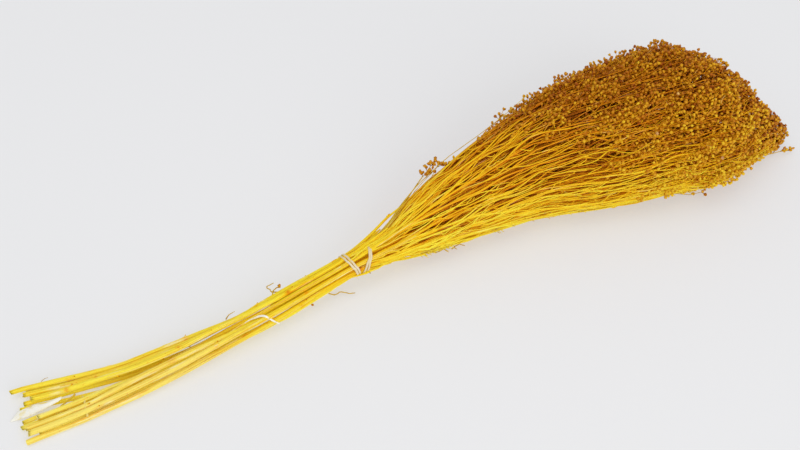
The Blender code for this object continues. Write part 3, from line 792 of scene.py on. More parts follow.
# The twigs get strong painted shade on their undersides and a faint warm painted glow.
twig_skin = stalk_finish(
    "dyed twigs", across=1.3, along=0.05, streak=0.34, pale=0.35, speck=0.25, varied=0.26, underside_shade=0.62,
    through=(0.105, 0.071, 0.032))
twigs_of = {}
for owner, node in enumerate(BRANCH_NODES):
    gathered = Gathered()
    line = leaders[node][leaders[node][:, 0] > forks[owner] - 20]
    radii = np.interp(line[:, 0], *LEADER_SIZE) * random.uniform(0.85, 1.15)
    tone = brown_of_dye_and_shade(line[:, 0], line[:, 1:])
    gathered.add_strands(line[None], radii[None], 6, tone[None], random.random(), 0.0)
    mine = owners == owner
    if mine.any():
        tone = brown_of_dye_and_shade(side_x[mine], side_way[mine])
        chance = side_chance[mine]
        gathered.add_strands(side_courses[mine], side_radii[mine], 4, tone, chance, 0.0, chance * FULL_TURN)
    mine = inner_owner == owner
    if mine.any():
        # Painted shade: the inner stalks are painted browner.
        tone = brown_of_dye_and_shade(inner_x[mine], inner_way[mine]) + INNER_SHADE_BROWN
        gathered.add_strands(inner_courses[mine], inner_radii[mine], 3, tone, random.random(mine.sum()), 0.0)
    twigs_of[node] = gathered

# The buds: small top-shaped capsules, dried and dyed whole, one at the end of each hair-thin stalk. They
# sit in sprays on the outer half of every side branch and hide most of the head's wood.

# A bud's sides, and its rings: how far along from the stalk, and how wide there.
BUD_SIDES = 6
BUD_PROFILE = ((0.0, 0.3), (0.4, 0.96), (0.8, 0.8))
BUD_LENGTH, BUD_WIDTH = (2.2, 3.4), (0.92, 1.42)
BUDS_WANTED, BUD_GAP, BUD_TABLE_GAP, BUDS_END = 11600, 2.15, 1.25, 302.0
OPEN_SHARE, BARE_SHARE, BARE_BY = 0.3, 0.003, 0.2
DEEP_BUDS, DEEP_GAP, DEEP_WITHIN = 7000, 2.7, (0.42, 0.9)
DEEP_LENGTH, DEEP_WIDTH = (2.6, 3.8), (1.25, 1.85)
TWIG_PLACES, TWIG_SIZE, TWIG_APART = 3, (0.3, 0.2), (3.6, 8.5)
TWIG_LENGTH, TWIG_ANGLE = (5, 15), (18, 62)
HAIRS, HAIR_PLACES, HAIR_SIZE = 2400, 9, (0.47, 0.27)
HAIR_LENGTH, HAIR_ANGLE, HAIR_WAVE = (20, 66), (8, 48), (0.4, 3.0)
BUD_STALK_SIZE, BUD_STALK_LENGTH = (0.17, 0.22), (1.6, 4.2)
BUD_STALK_ANGLE, END_STALK_ANGLE = (34, 95), (5, 45)
# How likely a first, second and later bud stalk is on a twig, and how far apart they leave it.
TWIG_STALKS, TWIG_STALKS_APART = (1.0, 0.95, 0.85, 0.7, 0.5, 0.35), 0.17
HAIR_STALKS, HAIR_STALKS_APART = (0.9, 0.8, 0.7), 0.06
TUFT_X, TUFT_TURN, TUFT_RISE = 225.0, 0.8, 0.15
# How far beyond the head's edge sprays may stand: loose ones on the far side, and a few others.
LOOSE_BEFORE, LOOSE_ROOM, LOOSE_SHARE = 205.0, (0.02, 0.2), 0.5
OTHER_ROOM, OTHER_SHARE = 0.06, 0.15
# How brown a bud is at least, and how far it follows the stalks round it, for outer and for deep buds, the
# deep ones painted browner as painted shade; how much it varies; and how much browner it is painted in the
# gaps between clumps, as painted shade, and paler out on a clump.
BUD_BROWN, DEEP_BUD_SHADE_BROWN = (0.12, 0.72), (0.24, 0.62)
BROWN_VARIES, CLUMP_GAP_SHADE = 0.06, 0.1
# Along a bud: painted shade at its foot, where it meets its stalk, lightest in the middle, and browner at its
# tip.
BUD_FOOT_SHADE_AND_TIP = ((0, 0.3, 0.62, 0.9, 1), (0.22, 0.02, -0.04, 0.05, 0.16))
BUD_BARE_WOOD = (0.90, 0.74, 0.58)
BUD_STOPS = (
    (0.0, (0.90, 0.62, 0.022)),
    (0.25, (0.79, 0.41, 0.009)),
    (0.5, (0.60, 0.225, 0.003)),
    (0.75, (0.39, 0.082, 0.001)),
    (1.0, (0.19, 0.028, 0.001)),
)

# The sprays sit in clumps a few centimetres across.
random = np.random.default_rng(53)
clump_waves = []
for wave in (15.0, 17.0, 20.0, 23.0, 27.0):
    way = random.normal(0, 1, 3) * np.array([0.75, 1, 1])
    clump_waves.append((way / np.linalg.norm(way) * 2 * math.pi / wave, random.uniform(0, FULL_TURN)))


def clumped(places):
    """How far a place is inside a clump of sprays, from -1 in the gaps between clumps to 1."""
    swing = np.zeros(len(places))
    for way, phase in clump_waves:
        swing += np.sin(places @ way + phase)
    return np.clip(swing / 1.9, -1, 1)


def uneven_edge(places):
    """How far out sprays may reach at each place, because they bulge in clumps, with one tall tuft."""
    middle, half, waist, low, high = head_section(HEAD_OUTLINE, places[:, 0])
    angle = np.arctan2((places[:, 2] - waist) / (high - waist), (places[:, 1] - middle) / half)
    tuft = np.exp(-(((places[:, 0] - TUFT_X) / 8) ** 2) - ((angle - TUFT_TURN) / 0.4) ** 2)
    return 0.96 + 0.055 * clumped(places) + TUFT_RISE * tuft


def side_ways(heading):
    """Two directions square to each heading: outwards from it, and round it."""
    out = unit(np.cross(heading, np.eye(3)[np.abs(heading).argmin(axis=-1)]))
    return out, np.cross(heading, out)


def tipped(heading, outward, angle, spread, chance_round):
    """Headings leaned off by an angle, mostly to the outside of the head."""
    out, round_ = side_ways(heading)
    face = np.arctan2((outward * round_).sum(-1), (outward * out).sum(-1))
    count = len(heading)
    anywhere = random.random(count) < chance_round
    turn = face + np.where(anywhere, random.uniform(0, FULL_TURN, count), random.normal(0, spread, count))
    lean = np.cos(turn)[:, None] * out + np.sin(turn)[:, None] * round_
    return np.cos(angle)[:, None] * heading + np.sin(angle)[:, None] * lean


def outwards(places):
    """Which way is out of the head from each place."""
    middle, half, waist, low, high = head_section(HEAD_OUTLINE, places[:, 0])
    across, up = (places[:, 1] - middle) / half, (places[:, 2] - waist) / ((high - low) / 2)
    away = np.stack([np.full(len(places), 0.15), across, up], axis=-1)
    return away / np.maximum(np.linalg.norm(away, axis=-1, keepdims=True), 1e-6)


def fits(places, room):
    """Whether places lie above the table and in the head's outline, or no further out than allowed."""
    within = how_far_out(places[:, 0], places[:, 1:]) < uneven_edge(places) + room
    return within & (places[:, 2] > BUD_TABLE_GAP) & (places[:, 0] < BUDS_END)


def wavy(foot, way, heading, size, places, amplitude, bend=0.32):
    """Thin shoots from their feet, bending back to the way that the strands run, with a slight wave."""
    s = np.linspace(0, 1, places)[None, :, None]
    course = foot[:, None] + size[:, None, None] * (way[:, None] * s + bend * (heading - way)[:, None] * s**2)
    out, round_ = side_ways(heading)
    count = len(foot)
    turns = random.uniform(0.5, 1.6, count)[:, None]
    phase = random.uniform(0, FULL_TURN, count)[:, None]
    sway = np.sin(turns * FULL_TURN * s[..., 0] + phase) - np.sin(phase)
    return course + (amplitude[:, None] * sway)[..., None] * round_[:, None]


random = np.random.default_rng(59)
# Where the twigs leave the side branches, each with its heading there.
twig_owner, twig_foot, twig_heading = [], [], []
for k, course in enumerate(side_courses):
    length = length_along(course)
    places = length[-1] - np.cumsum(random.uniform(*TWIG_APART, 44)) + 4.0
    places = places[places > 0.35 * length[-1]]
    for rank, place in enumerate(places):
        point = np.array([np.interp(place, length, course[:, a]) for a in range(3)])
        if random.random() > buds_start(point[0], point[1:]):
            continue
        i = min(np.searchsorted(length, place), SIDE_PLACES - 1)
        heading = course[i] - course[i - 1]
        for _ in range(3 if rank == 0 else 1):
            twig_owner.append(owners[k])
            twig_foot.append(point)
            twig_heading.append(heading / np.linalg.norm(heading))
twig_owner, twig_foot, twig_heading = np.array(twig_owner), np.array(twig_foot), np.array(twig_heading)
count = len(twig_owner)
# On the far side, before the broadest part, many sprays stand off and let the light through.
middle, half, waist, low, high = head_section(HEAD_OUTLINE, twig_foot[:, 0])
loose = (twig_foot[:, 1] - middle > 0.35 * half) & (twig_foot[:, 2] > waist)
loose &= twig_foot[:, 0] < LOOSE_BEFORE
room = np.where(loose, random.uniform(*LOOSE_ROOM, count), OTHER_ROOM)
room = np.where(random.random(count) < np.where(loose, LOOSE_SHARE, OTHER_SHARE), room, 0.0)
twig_course = np.zeros((count, TWIG_PLACES, 3))
settled = np.zeros(count, bool)
for attempt in range(9):
    size = random.uniform(*TWIG_LENGTH, count) * (1 - 0.07 * attempt)
    angle = np.radians(random.uniform(*TWIG_ANGLE, count))
    way = tipped(twig_heading, outwards(twig_foot), angle, 1.0, 0.3)
    course = wavy(twig_foot, way, twig_heading, size, TWIG_PLACES, np.zeros(count))
    good = ~settled & fits(course[:, -1], room)
    twig_course[good] = course[good]
    settled |= good
twig_owner, twig_course, room = twig_owner[settled], twig_course[settled], room[settled]

# Long hair-thin shoots cross over the others in the outside of the head.
hair_host = random.choice(np.flatnonzero(outer), HAIRS)
hair_at = random.uniform(0.08, 0.86, HAIRS) * (SIDE_PLACES - 1)
i = hair_at.astype(int)
part = (hair_at - i)[:, None]
hair_foot = side_courses[hair_host, i] * (1 - part) + side_courses[hair_host, i + 1] * part
hair_heading = unit(side_courses[hair_host, i + 1] - side_courses[hair_host, i])
hair_course = np.zeros((HAIRS, HAIR_PLACES, 3))
settled = np.zeros(HAIRS, bool)
for attempt in range(10):
    size = random.uniform(*HAIR_LENGTH, HAIRS) * (1 - 0.06 * attempt)
    angle = np.radians(random.uniform(*HAIR_ANGLE, HAIRS))
    way = tipped(hair_heading, outwards(hair_foot), angle, 1.3, 0.3)
    course = wavy(hair_foot, way, hair_heading, size, HAIR_PLACES, random.uniform(*HAIR_WAVE, HAIRS), 0.5)
    good = ~settled & fits(course[:, -1], -0.01) & fits(course[:, HAIR_PLACES // 2], 0.0)
    hair_course[good] = course[good]
    settled |= good
x, places = hair_course[:, HAIR_PLACES // 2, 0], hair_course[:, HAIR_PLACES // 2, 1:]
middle, half, waist, low, high = head_section(HEAD_OUTLINE, x)
on_top = np.clip(0.5 + (places[:, 1] - waist) / (high - low) + 0.4 * (places[:, 0] - middle) / half, 0, 1)
shown = settled & (random.random(HAIRS) > 0.8 * buds_start(x, places) * on_top)
hair_course, hair_owner = kept_in(hair_course[shown], 0.985), owners[hair_host[shown]]


def spray(course, room, chances, apart):
    """Bud stalks on twigs: one goes on from each twig's tip, and others leave it further back, at random."""
    count, places = course.shape[:2]
    heading = unit(course[:, -1] - course[:, -2])
    rows = np.arange(count)
    found = []
    for rank, chance in enumerate(chances):
        share = np.ones(count)
        if rank:
            share = np.clip(1 - apart * rank - random.uniform(0, apart / 2, count), 0.2, 1)
        at = share * (places - 1)
        i = np.minimum(at.astype(int), places - 2)
        foot = course[rows, i] + (at - i)[:, None] * (course[rows, i + 1] - course[rows, i])
        tip, settled = np.zeros((count, 3)), np.zeros(count, bool)
        for attempt in range(3):
            angle = np.radians(random.uniform(*(BUD_STALK_ANGLE if rank else END_STALK_ANGLE), count))
            way = tipped(heading, outwards(foot), angle, 1.0, 0.35)
            trial = foot + way * random.uniform(*BUD_STALK_LENGTH, count)[:, None]
            good = ~settled & fits(trial + way * 2.6, room + 0.015)
            tip[good] = trial[good]
            settled |= good
        shown = settled & (random.random(count) < chance)
        found.append((rows[shown], foot[shown], tip[shown]))
    return [np.concatenate(values) for values in zip(*found)]


on_twigs = spray(twig_course, room, TWIG_STALKS, TWIG_STALKS_APART)
budding = buds_start(hair_course[:, -1, 0], hair_course[:, -1, 1:])
chances = [chance * budding for chance in HAIR_STALKS]
on_hairs = spray(hair_course, np.full(len(hair_course), 0.02), chances, HAIR_STALKS_APART)
stalk_foot, stalk_tip = (np.concatenate([on_twigs[k], on_hairs[k]]) for k in (1, 2))
stalk_twig = np.concatenate([on_twigs[0], np.full(len(on_hairs[0]), -1)])
stalk_owner = np.concatenate([twig_owner[on_twigs[0]], hair_owner[on_hairs[0]]])

# Buds that would sit in one another are left out, those in the depth of the head first.
out = how_far_out(stalk_tip[:, 0], stalk_tip[:, 1:])
order = np.argsort(-np.clip(out, 0, 0.84) - 0.1 * clumped(stalk_tip) + random.uniform(0, 0.16, len(out)))
taken, chosen = {}, []
cells = np.floor(stalk_tip / BUD_GAP).astype(int)
around = [(a, b, c) for a in (-1, 0, 1) for b in (-1, 0, 1) for c in (-1, 0, 1)]
for i in order:
    x, y, z = cells[i]
    near = [taken[x + a, y + b, z + c] for a, b, c in around if (x + a, y + b, z + c) in taken]
    if near and min(((stalk_tip[near] - stalk_tip[i]) ** 2).sum(axis=1)) < BUD_GAP**2:
        continue
    taken[x, y, z] = i
    chosen.append(i)
    if len(chosen) == BUDS_WANTED:
        break
chosen = np.array(chosen)
stalk_twig, stalk_owner = stalk_twig[chosen], stalk_owner[chosen]
stalk_foot, stalk_tip = stalk_foot[chosen], stalk_tip[chosen]
used = np.zeros(len(twig_course), bool)
used[stalk_twig[stalk_twig >= 0]] = True


def bud_points(tips, ways, lengths, widths, opened):
    """Top-shaped capsules on the ends of their stalks, three-sided a little, some open at the end."""
    count = len(tips)
    out, round_ = side_ways(ways)
    turn = random.uniform(0, FULL_TURN, count)[:, None] + 2 * math.pi * np.arange(BUD_SIDES) / BUD_SIDES
    lobes = 1 + 0.09 * np.cos(3 * 2 * math.pi * np.arange(BUD_SIDES) / BUD_SIDES)
    rings = []
    for at, wide in BUD_PROFILE:
        wide = np.full(count, wide) if at < 0.8 else wide + 0.2 * opened
        radius = (widths * wide)[:, None] * (lobes if at > 0.1 else 1.0)
        middle = tips + ways * (lengths * at)[:, None]
        side = np.cos(turn)[..., None] * out[:, None] + np.sin(turn)[..., None] * round_[:, None]
        rings.append(middle[:, None] + radius[..., None] * side)
    tip = tips + ways * (lengths * (1 - 0.34 * opened))[:, None]
    return np.concatenate([np.concatenate(rings, axis=1), tip[:, None]], axis=1)


def bud_faces(count):
    """The triangles of so many capsules: rings from the stalk up, and a fan to the tip."""
    rings = len(BUD_PROFILE)
    k = np.arange(BUD_SIDES)
    top = (rings - 1) * BUD_SIDES
    fan = np.stack([top + k, top + (k + 1) % BUD_SIDES, np.full(BUD_SIDES, rings * BUD_SIDES)], -1)
    return repeated(np.concatenate([walls_of(rings, BUD_SIDES), fan]), count, rings * BUD_SIDES + 1)


def bud_finish():
    """Dull dyed capsules, mottled: browner at the tip, with painted shade round the foot and in the pit of an
    open tip.
    """
    finish = Finish("dyed buds")
    tone, chance, bare = finish.channels(finish.painted("dye", "Color"))
    grain = finish.painted("grain", "Vector")
    mottle = finish.noise(grain, 0.9, 3.0, 0.6)
    turned = tone + (mottle - 0.5) * 0.4 + (chance - 0.5) * 0.34
    dyed = finish.node("ShaderNodeValToRGB", {"stops": BUD_STOPS}, {"Fac": turned}, "Color")
    colour = finish.mixed(bare, dyed, BUD_BARE_WOOD)
    return finish.done(
        Base_Color=colour,
        Roughness=0.45 + mottle * 0.25,
        Normal=finish.bump(mottle, 0.0002, 0.5),
        Specular_IOR_Level=0.22,
    )


def add_buds(gathered, tips, ways, brown, chance, bare):
    """Adds capsules on the ends of stalks."""
    count = len(tips)
    lengths, widths = random.uniform(*BUD_LENGTH, count), random.uniform(*BUD_WIDTH, count)
    opened = (random.random(count) < OPEN_SHARE) * random.uniform(0.5, 1, count)
    points = bud_points(tips, ways, lengths, widths, opened)
    paint = np.zeros((*points.shape[:2], 3))
    rise = np.concatenate([np.repeat([at for at, _ in BUD_PROFILE], BUD_SIDES), [1.0]])
    paint[..., 0] = brown[:, None] + np.interp(rise, *BUD_FOOT_SHADE_AND_TIP)
    # Painted shade in the pit of an open bud.
    paint[:, -1, 0] += 0.45 * opened
    paint[..., 1] = chance[:, None]
    paint[..., 2] = bare[:, None]
    grain = points - tips[:, None] + (chance * gathered.APART)[:, None, None]
    gathered.add(points, bud_faces(count), paint, grain)


# Coarser buds sit deep inside the head, where they only close its gaps; they are painted browner, as painted
# shade.
x = 303 - 190 * random.random(DEEP_BUDS * 9) ** 1.15
reach = np.sqrt(random.random(len(x)))
lane = edge_lane(random.uniform(0, 2 * math.pi, len(x))) * reach[:, None] * 0.9
middle, half, waist, low, high = head_section(HEAD_OUTLINE, x)
tall = np.where(lane[:, 1] > 0, high - waist, waist - low)
deep = np.stack([x, middle + half * lane[:, 0], waist + tall * lane[:, 1]], axis=1)
ripe = random.random(len(deep)) < buds_start(deep[:, 0], deep[:, 1:])
out = how_far_out(deep[:, 0], deep[:, 1:])
good = np.flatnonzero(ripe & (out > DEEP_WITHIN[0]) & (out < DEEP_WITHIN[1]) & (deep[:, 2] > 2.5))
cells, kept = set(), []
for i in good:
    cell = tuple(np.floor(deep[i] / DEEP_GAP).astype(int))
    if cell not in cells:
        cells.add(cell)
        kept.append(i)
    if len(kept) == DEEP_BUDS:
        break
deep = deep[kept]
deep_owner = np.linalg.norm(lane[kept][:, None] - leader_lanes[None], axis=2).argmin(axis=1)


def add_deep_buds(gathered, tips):
    """Adds plain four-sided capsules, turned every way."""
    count = len(tips)
    ways = unit(random.normal(0, 1, (count, 3)) + outwards(tips))
    out, round_ = side_ways(ways)
    length, wide = random.uniform(*DEEP_LENGTH, count), random.uniform(*DEEP_WIDTH, count)
    turn = random.uniform(0, FULL_TURN, count)[:, None] + math.pi / 2 * np.arange(4)
    ring = (tips + ways * (length * 0.55)[:, None])[:, None] + wide[:, None, None] * (
        np.cos(turn)[..., None] * out[:, None] + np.sin(turn)[..., None] * round_[:, None])
    points = np.concatenate([tips[:, None], ring, (tips + ways * length[:, None])[:, None]], axis=1)
    k = np.arange(4)
    foot = np.stack([0 * k, 1 + (k + 1) % 4, 1 + k], -1)
    end = np.stack([1 + k, 1 + (k + 1) % 4, 0 * k + 5], -1)
    faces = repeated(np.concatenate([foot, end]), count, points.shape[1])
    paint = np.zeros((*points.shape[:2], 3))
    # Painted shade: the deep buds are painted browner than the outer ones.
    paint[..., 0] = (DEEP_BUD_SHADE_BROWN[0] + DEEP_BUD_SHADE_BROWN[1] * brown_of_dye_and_shade(tips[:, 0], tips[:, 1:]))[:, None]
    paint[..., 1] = random.random(count)[:, None]
    gathered.add(points, faces, paint, points - tips[:, None] + gathered.APART * paint[..., 1:2])


bud_skin = bud_finish()
twig_tone = brown_of_dye_and_shade(twig_course[..., 0], twig_course[..., 1:]) + 0.05
stalk_way = unit(stalk_tip - stalk_foot)
bud_brown = BUD_BROWN[0] + BUD_BROWN[1] * brown_of_dye_and_shade(stalk_tip[:, 0], stalk_tip[:, 1:])
# Painted shade: buds are painted browner in the gaps between clumps and paler out on the clumps; the rest
# varies at random.
bud_brown += random.normal(0, BROWN_VARIES, len(stalk_tip)) - CLUMP_GAP_SHADE * clumped(stalk_tip)
hair_tone = np.maximum(brown_of_dye_and_shade(hair_course[..., 0], hair_course[..., 1:]) - 0.12, 0.1)
bud_chance = random.random(len(stalk_tip))
bud_bare = BARE_BY * (random.random(len(stalk_tip)) < BARE_SHARE)
for owner, node in enumerate(BRANCH_NODES):
    gathered = twigs_of[node]
    for course, tone, mine, size in (
        (twig_course, twig_tone, used & (twig_owner == owner), TWIG_SIZE),
        (hair_course, hair_tone, hair_owner == owner, HAIR_SIZE),
    ):
        if mine.any():
            n, places = course[mine].shape[:2]
            radii = np.linspace(*size, places) * random.uniform(0.8, 1.2, (n, 1))
            gathered.add_strands(course[mine], radii, 3, tone[mine], random.random(n), 0.0, closed=False)
    mine = stalk_owner == owner
    if mine.any():
        n = mine.sum()
        course = np.stack([stalk_foot[mine], stalk_tip[mine] + stalk_way[mine] * 0.2], axis=1)
        radii = np.tile(BUD_STALK_SIZE, (n, 1))
        gathered.add_strands(course, radii, 3, bud_brown[mine] - 0.02, random.random(n), 0.0, closed=False)
    twigs = gathered.piece(f"twigs_{node[7:]}", twig_skin)
    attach(twigs, "root")
    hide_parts(node)
    if mine.any():
        gathered = Gathered()
        paint = (bud_brown[mine], bud_chance[mine], bud_bare[mine])
        add_buds(gathered, stalk_tip[mine], stalk_way[mine], *paint)
        if (deep_owner == owner).any():
            add_deep_buds(gathered, deep[deep_owner == owner])
        buds = gathered.piece(f"buds_{node[7:]}", bud_skin)
        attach(buds, "root")
        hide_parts(node)

# The band: one narrow natural rubber band, stretched into two turns side by side round the stems, with one
# more on the slant towards the head, where it slips in between the upper stalks. Its own pull holds it.

BAND_WIDE, BAND_THICK = 1.7, 0.75
BAND_START, BAND_TURN_PLACES = math.radians(250), 72
BAND_EASED = 6
# Turns so far, x, lean towards the cut ends on top, and lift off the stems.
BAND_COURSE = (
    (0.0, -61.2, 3.6, 0.9),
    (0.1, -61.4, 3.6, 0.1),
    (0.96, -61.2, 3.6, 0.0),
    (1.12, -59.4, 3.4, 0.05),
    (2.02, -59.0, 3.0, 0.1),
    (2.16, -53.5, 1.0, 0.2),
    (2.3, -48.0, -0.5, 0.1),
    (2.42, -45.6, -1.0, 0.0),
    (2.48, -45.0, -1.0, -3.5),
    (2.72, -44.6, -1.0, -4.0),
    (2.84, -45.5, -0.5, 0.2),
    (3.14, -50.5, 0.0, 0.3),
    (3.28, -47.4, -0.5, 0.35),
    (3.4, -44.9, -1.0, 0.2),
    (3.46, -44.2, -1.0, -3.5),
    (3.7, -45.6, -0.5, -4.0),
    (3.8, -52.5, 0.0, 0.3),
    (3.87, -56.0, 1.0, 0.8),
    (4.0, -61.2, 3.6, 0.9),
)
RUBBER, RUBBER_PALE = (0.80, 0.66, 0.40), (0.86, 0.75, 0.52)
# The rounded section of a flat strip, in shares of its width and of its thickness.
STRIP_SECTION = (
    (-0.5, -0.38, 0, 0.38, 0.5, 0.38, 0, -0.38),
    (0, 0.42, 0.5, 0.42, 0, -0.42, -0.5, -0.42),
)


def round_the_stems(x, angle, lift):
    """Where something laid round the stems and their shoots touches them at x, at this angle."""
    way = np.array([math.cos(angle), math.sin(angle)])
    best, place = -math.inf, None
    for line, sizes in (*stem_lines.values(), *shoots):
        if line[0, 0] < x < line[-1, 0]:
            middle, size = at_x(x, line), np.interp(x, line[:, 0], sizes)
            if middle @ way + size > best:
                best, place = middle @ way + size, middle + way * (size + lift)
    return np.array([x, *place])


def ribbon_rings(course, outward, wide, thick):
    """Rings of a flat strip with rounded edges, laid along a course with one face outward."""
    heading = unit(np.gradient(course, axis=0))
    side = unit(np.cross(outward, heading))
    face = np.cross(heading, side)
    across, through = (np.array(row)[None, :, None] for row in STRIP_SECTION)
    wide, thick = (np.broadcast_to(value, len(course))[:, None, None] for value in (wide, thick))
    return course[:, None] + side[:, None] * across * wide + face[:, None] * through * thick


rows = np.array(BAND_COURSE)
t = np.linspace(0, rows[-1, 0], int(rows[-1, 0] * BAND_TURN_PLACES) + 1)
angle = BAND_START - 2 * math.pi * t
x, lean, lift = (np.interp(t, rows[:, 0], rows[:, k]) for k in (1, 2, 3))
x = x - lean * np.cos(angle - math.pi / 4)
course = np.array([round_the_stems(*place) for place in zip(x, angle, lift + BAND_THICK / 2 + 0.1)])
# The ends meet, so that it is smoothed all the way round.
longer = np.concatenate([course[-1 - BAND_EASED : -1], course, course[1 : 1 + BAND_EASED]])
kernel = np.exp(-0.5 * (np.arange(-BAND_EASED, BAND_EASED + 1) / 2.2) ** 2)
course = np.stack([np.convolve(longer[:, k], kernel / kernel.sum(), "valid") for k in range(3)], axis=1)
wide = BAND_WIDE * (1 + 0.08 * np.sin(9 * t) + 0.05 * np.sin(31 * t))
points = ribbon_rings(course, facing_out(angle), wide, BAND_THICK)
gathered = Gathered()
paint = np.zeros((*points.shape[:2], 3))
along = np.broadcast_to(np.arange(len(course))[:, None] * 0.9, points.shape[:2])
grain = np.stack([along, *np.broadcast_arrays(np.arange(8.0) * 0.5, along * 0)], axis=-1)
gathered.add(points, skin_of(1, len(course), 8, closed=False), paint, grain)
rubber = Finish("natural rubber")
grain = rubber.painted("grain", "Vector")
ripple = rubber.noise(rubber.stretched(grain, (0.5, 1.2, 1.0)), 1.0, 3.0)
cloud = rubber.noise(grain, 0.07, 2.0)
rubber_skin = rubber.done(
    Base_Color=rubber.mixed(cloud.between(0.3, 0.75), RUBBER, RUBBER_PALE),
    Roughness=0.5 + ripple * 0.15,
    Normal=rubber.bump(ripple, 0.0001, 0.4),
    Specular_IOR_Level=0.4,
)
band = gathered.piece("natural_rubber_band", rubber_skin)
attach(band, "root")
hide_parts("rubber_band")

# The bark strip: a thin shred of pale inner bark, peeled loose from a stem below the band. It lies along
# the stem, bends over its edge and sticks out over the table.

BARK_PLACES, BARK_THICK = 40, 0.35
# Its course, and which way its face looks, in degrees up from the far side.
BARK_COURSE = (
    (-147.0, -12.3, 15.2, 108),
    (-144.8, -11.9, 15.9, 108),
    (-141.6, -11.7, 16.5, 108),
    (-137.9, -12.2, 17.2, 108),
    (-135.0, -13.0, 18.3, 110),
    (-133.0, -14.8, 19.8, 112),
    (-131.3, -17.0, 20.6, 120),
    (-129.2, -18.2, 18.0, 140),
    (-127.4, -18.9, 15.4, 150),
    (-126.1, -19.2, 13.6, 155),
    (-123.3, -20.1, 10.4, 160),
)
BARK_WIDE = ((0, 0.25, 0.45, 0.55, 0.7, 1), (0.4, 1.0, 1.7, 1.6, 1.4, 1.1))
BARE_WOOD, BARE_WOOD_STAIN = (0.97, 0.95, 0.86), (0.93, 0.80, 0.42)


def bare_finish(name, colour, stain):
    """Bare inner wood: pale and matt, with fine straight grain and faint yellow stains along it."""
    finish = Finish(name)
    grain = finish.painted("grain", "Vector")
    fine = finish.noise(finish.stretched(grain, (0.12, 2.2, 2.2)), 1.0, 3.0)
    blot = finish.noise(grain, 0.22, 2.0)
    return finish.done(
        Base_Color=finish.mixed((blot + fine * 0.3).between(0.66, 0.95), colour, stain),
        Roughness=0.6 + fine * 0.2,
        Normal=finish.bump(fine, 0.00012, 0.4),
        Specular_IOR_Level=0.25,
    )


bare_skin = bare_finish("bare wood", BARE_WOOD, BARE_WOOD_STAIN)
rows = np.array(BARK_COURSE, float)
x = np.linspace(rows[0, 0], rows[-1, 0], BARK_PLACES)
angle = np.radians(np.interp(x, rows[:, 0], rows[:, 3]))
course = eased(np.column_stack([x, at_x(x, rows)]), 1)
wide = np.interp(np.linspace(0, 1, BARK_PLACES), *BARK_WIDE)
points = ribbon_rings(course, facing_out(angle), wide, BARK_THICK)
gathered = Gathered()
paint = np.zeros((*points.shape[:2], 3))
gathered.add(points, skin_of(1, BARK_PLACES, 8), paint, points - points[0, 0])
bark = gathered.piece("bark_shred", bare_skin)
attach(bark, "root")
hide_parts("bark_strip")

# The peeled strip: a flat splinter of white inner wood between the two groups of cut ends, pointed at its
# free end and scalloped along its far edge, where it broke along the bumps of the stem beside it.

# Its two long edges, from its point to its broken end.
STRIP_FAR = (
    (-313.2, -5.0, 0.4),
    (-309.0, -2.4, 1.4),
    (-304.4, 0.5, 2.2),
    (-299.5, -1.7, 3.4),
    (-294.0, -1.9, 4.6),
    (-291.0, -4.2, 5.3),
    (-287.5, -5.5, 6.0),
    (-283.2, -5.7, 6.8),
    (-276.7, -6.4, 7.6),
)
STRIP_NEAR = (
    (-313.2, -5.4, 0.3),
    (-306.7, -7.1, 1.6),
    (-300.8, -8.7, 2.8),
    (-294.4, -9.1, 4.2),
    (-288.7, -9.3, 5.4),
    (-279.7, -9.0, 7.2),
    (-276.0, -7.8, 7.6),
)
STRIP_PLACES, STRIP_ROWS = 60, 7
STRIP_THICK, STRIP_ARCH = 0.5, 0.7
x = np.linspace(STRIP_FAR[0][0], STRIP_FAR[-1][0], STRIP_PLACES)
(far, far_up), (near, near_up) = (at_x(x, np.array(edge)).T for edge in (STRIP_FAR, STRIP_NEAR))
far = eased(far[:, None], 1)[:, 0]
across = np.linspace(0, 1, STRIP_ROWS)
y = near[:, None] + (far - near)[:, None] * across
arch = STRIP_ARCH * np.sin(math.pi * np.clip((x - x[0]) / (x[-1] - x[0]), 0, 1)) ** 0.7
z = near_up[:, None] + (far_up - near_up)[:, None] * across + arch[:, None] * np.sin(math.pi * across)
points = np.stack([np.broadcast_to(x[:, None], y.shape), y, z], axis=-1)
over = points + np.array([0, 0, STRIP_THICK]) * (0.35 + 0.65 * np.sin(math.pi * across))[None, :, None]
ring = np.concatenate([over, points[:, ::-1]], axis=1)
gathered = Gathered()
paint = np.zeros((*ring.shape[:2], 3))
gathered.add(ring, skin_of(1, STRIP_PLACES, 2 * STRIP_ROWS), paint, ring - ring[0, 0])
splinter = gathered.piece("white_splinter", bare_skin)
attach(splinter, "root")
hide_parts("peeled_strip")

# Loose growth: broken side twigs, curled tendrils, fine wisps and a few stray sprays that stick out of the
# bunch. They grew on the stems and branches, are dyed with them, and hold by their own wood.

TENDRIL_PLACES = 30
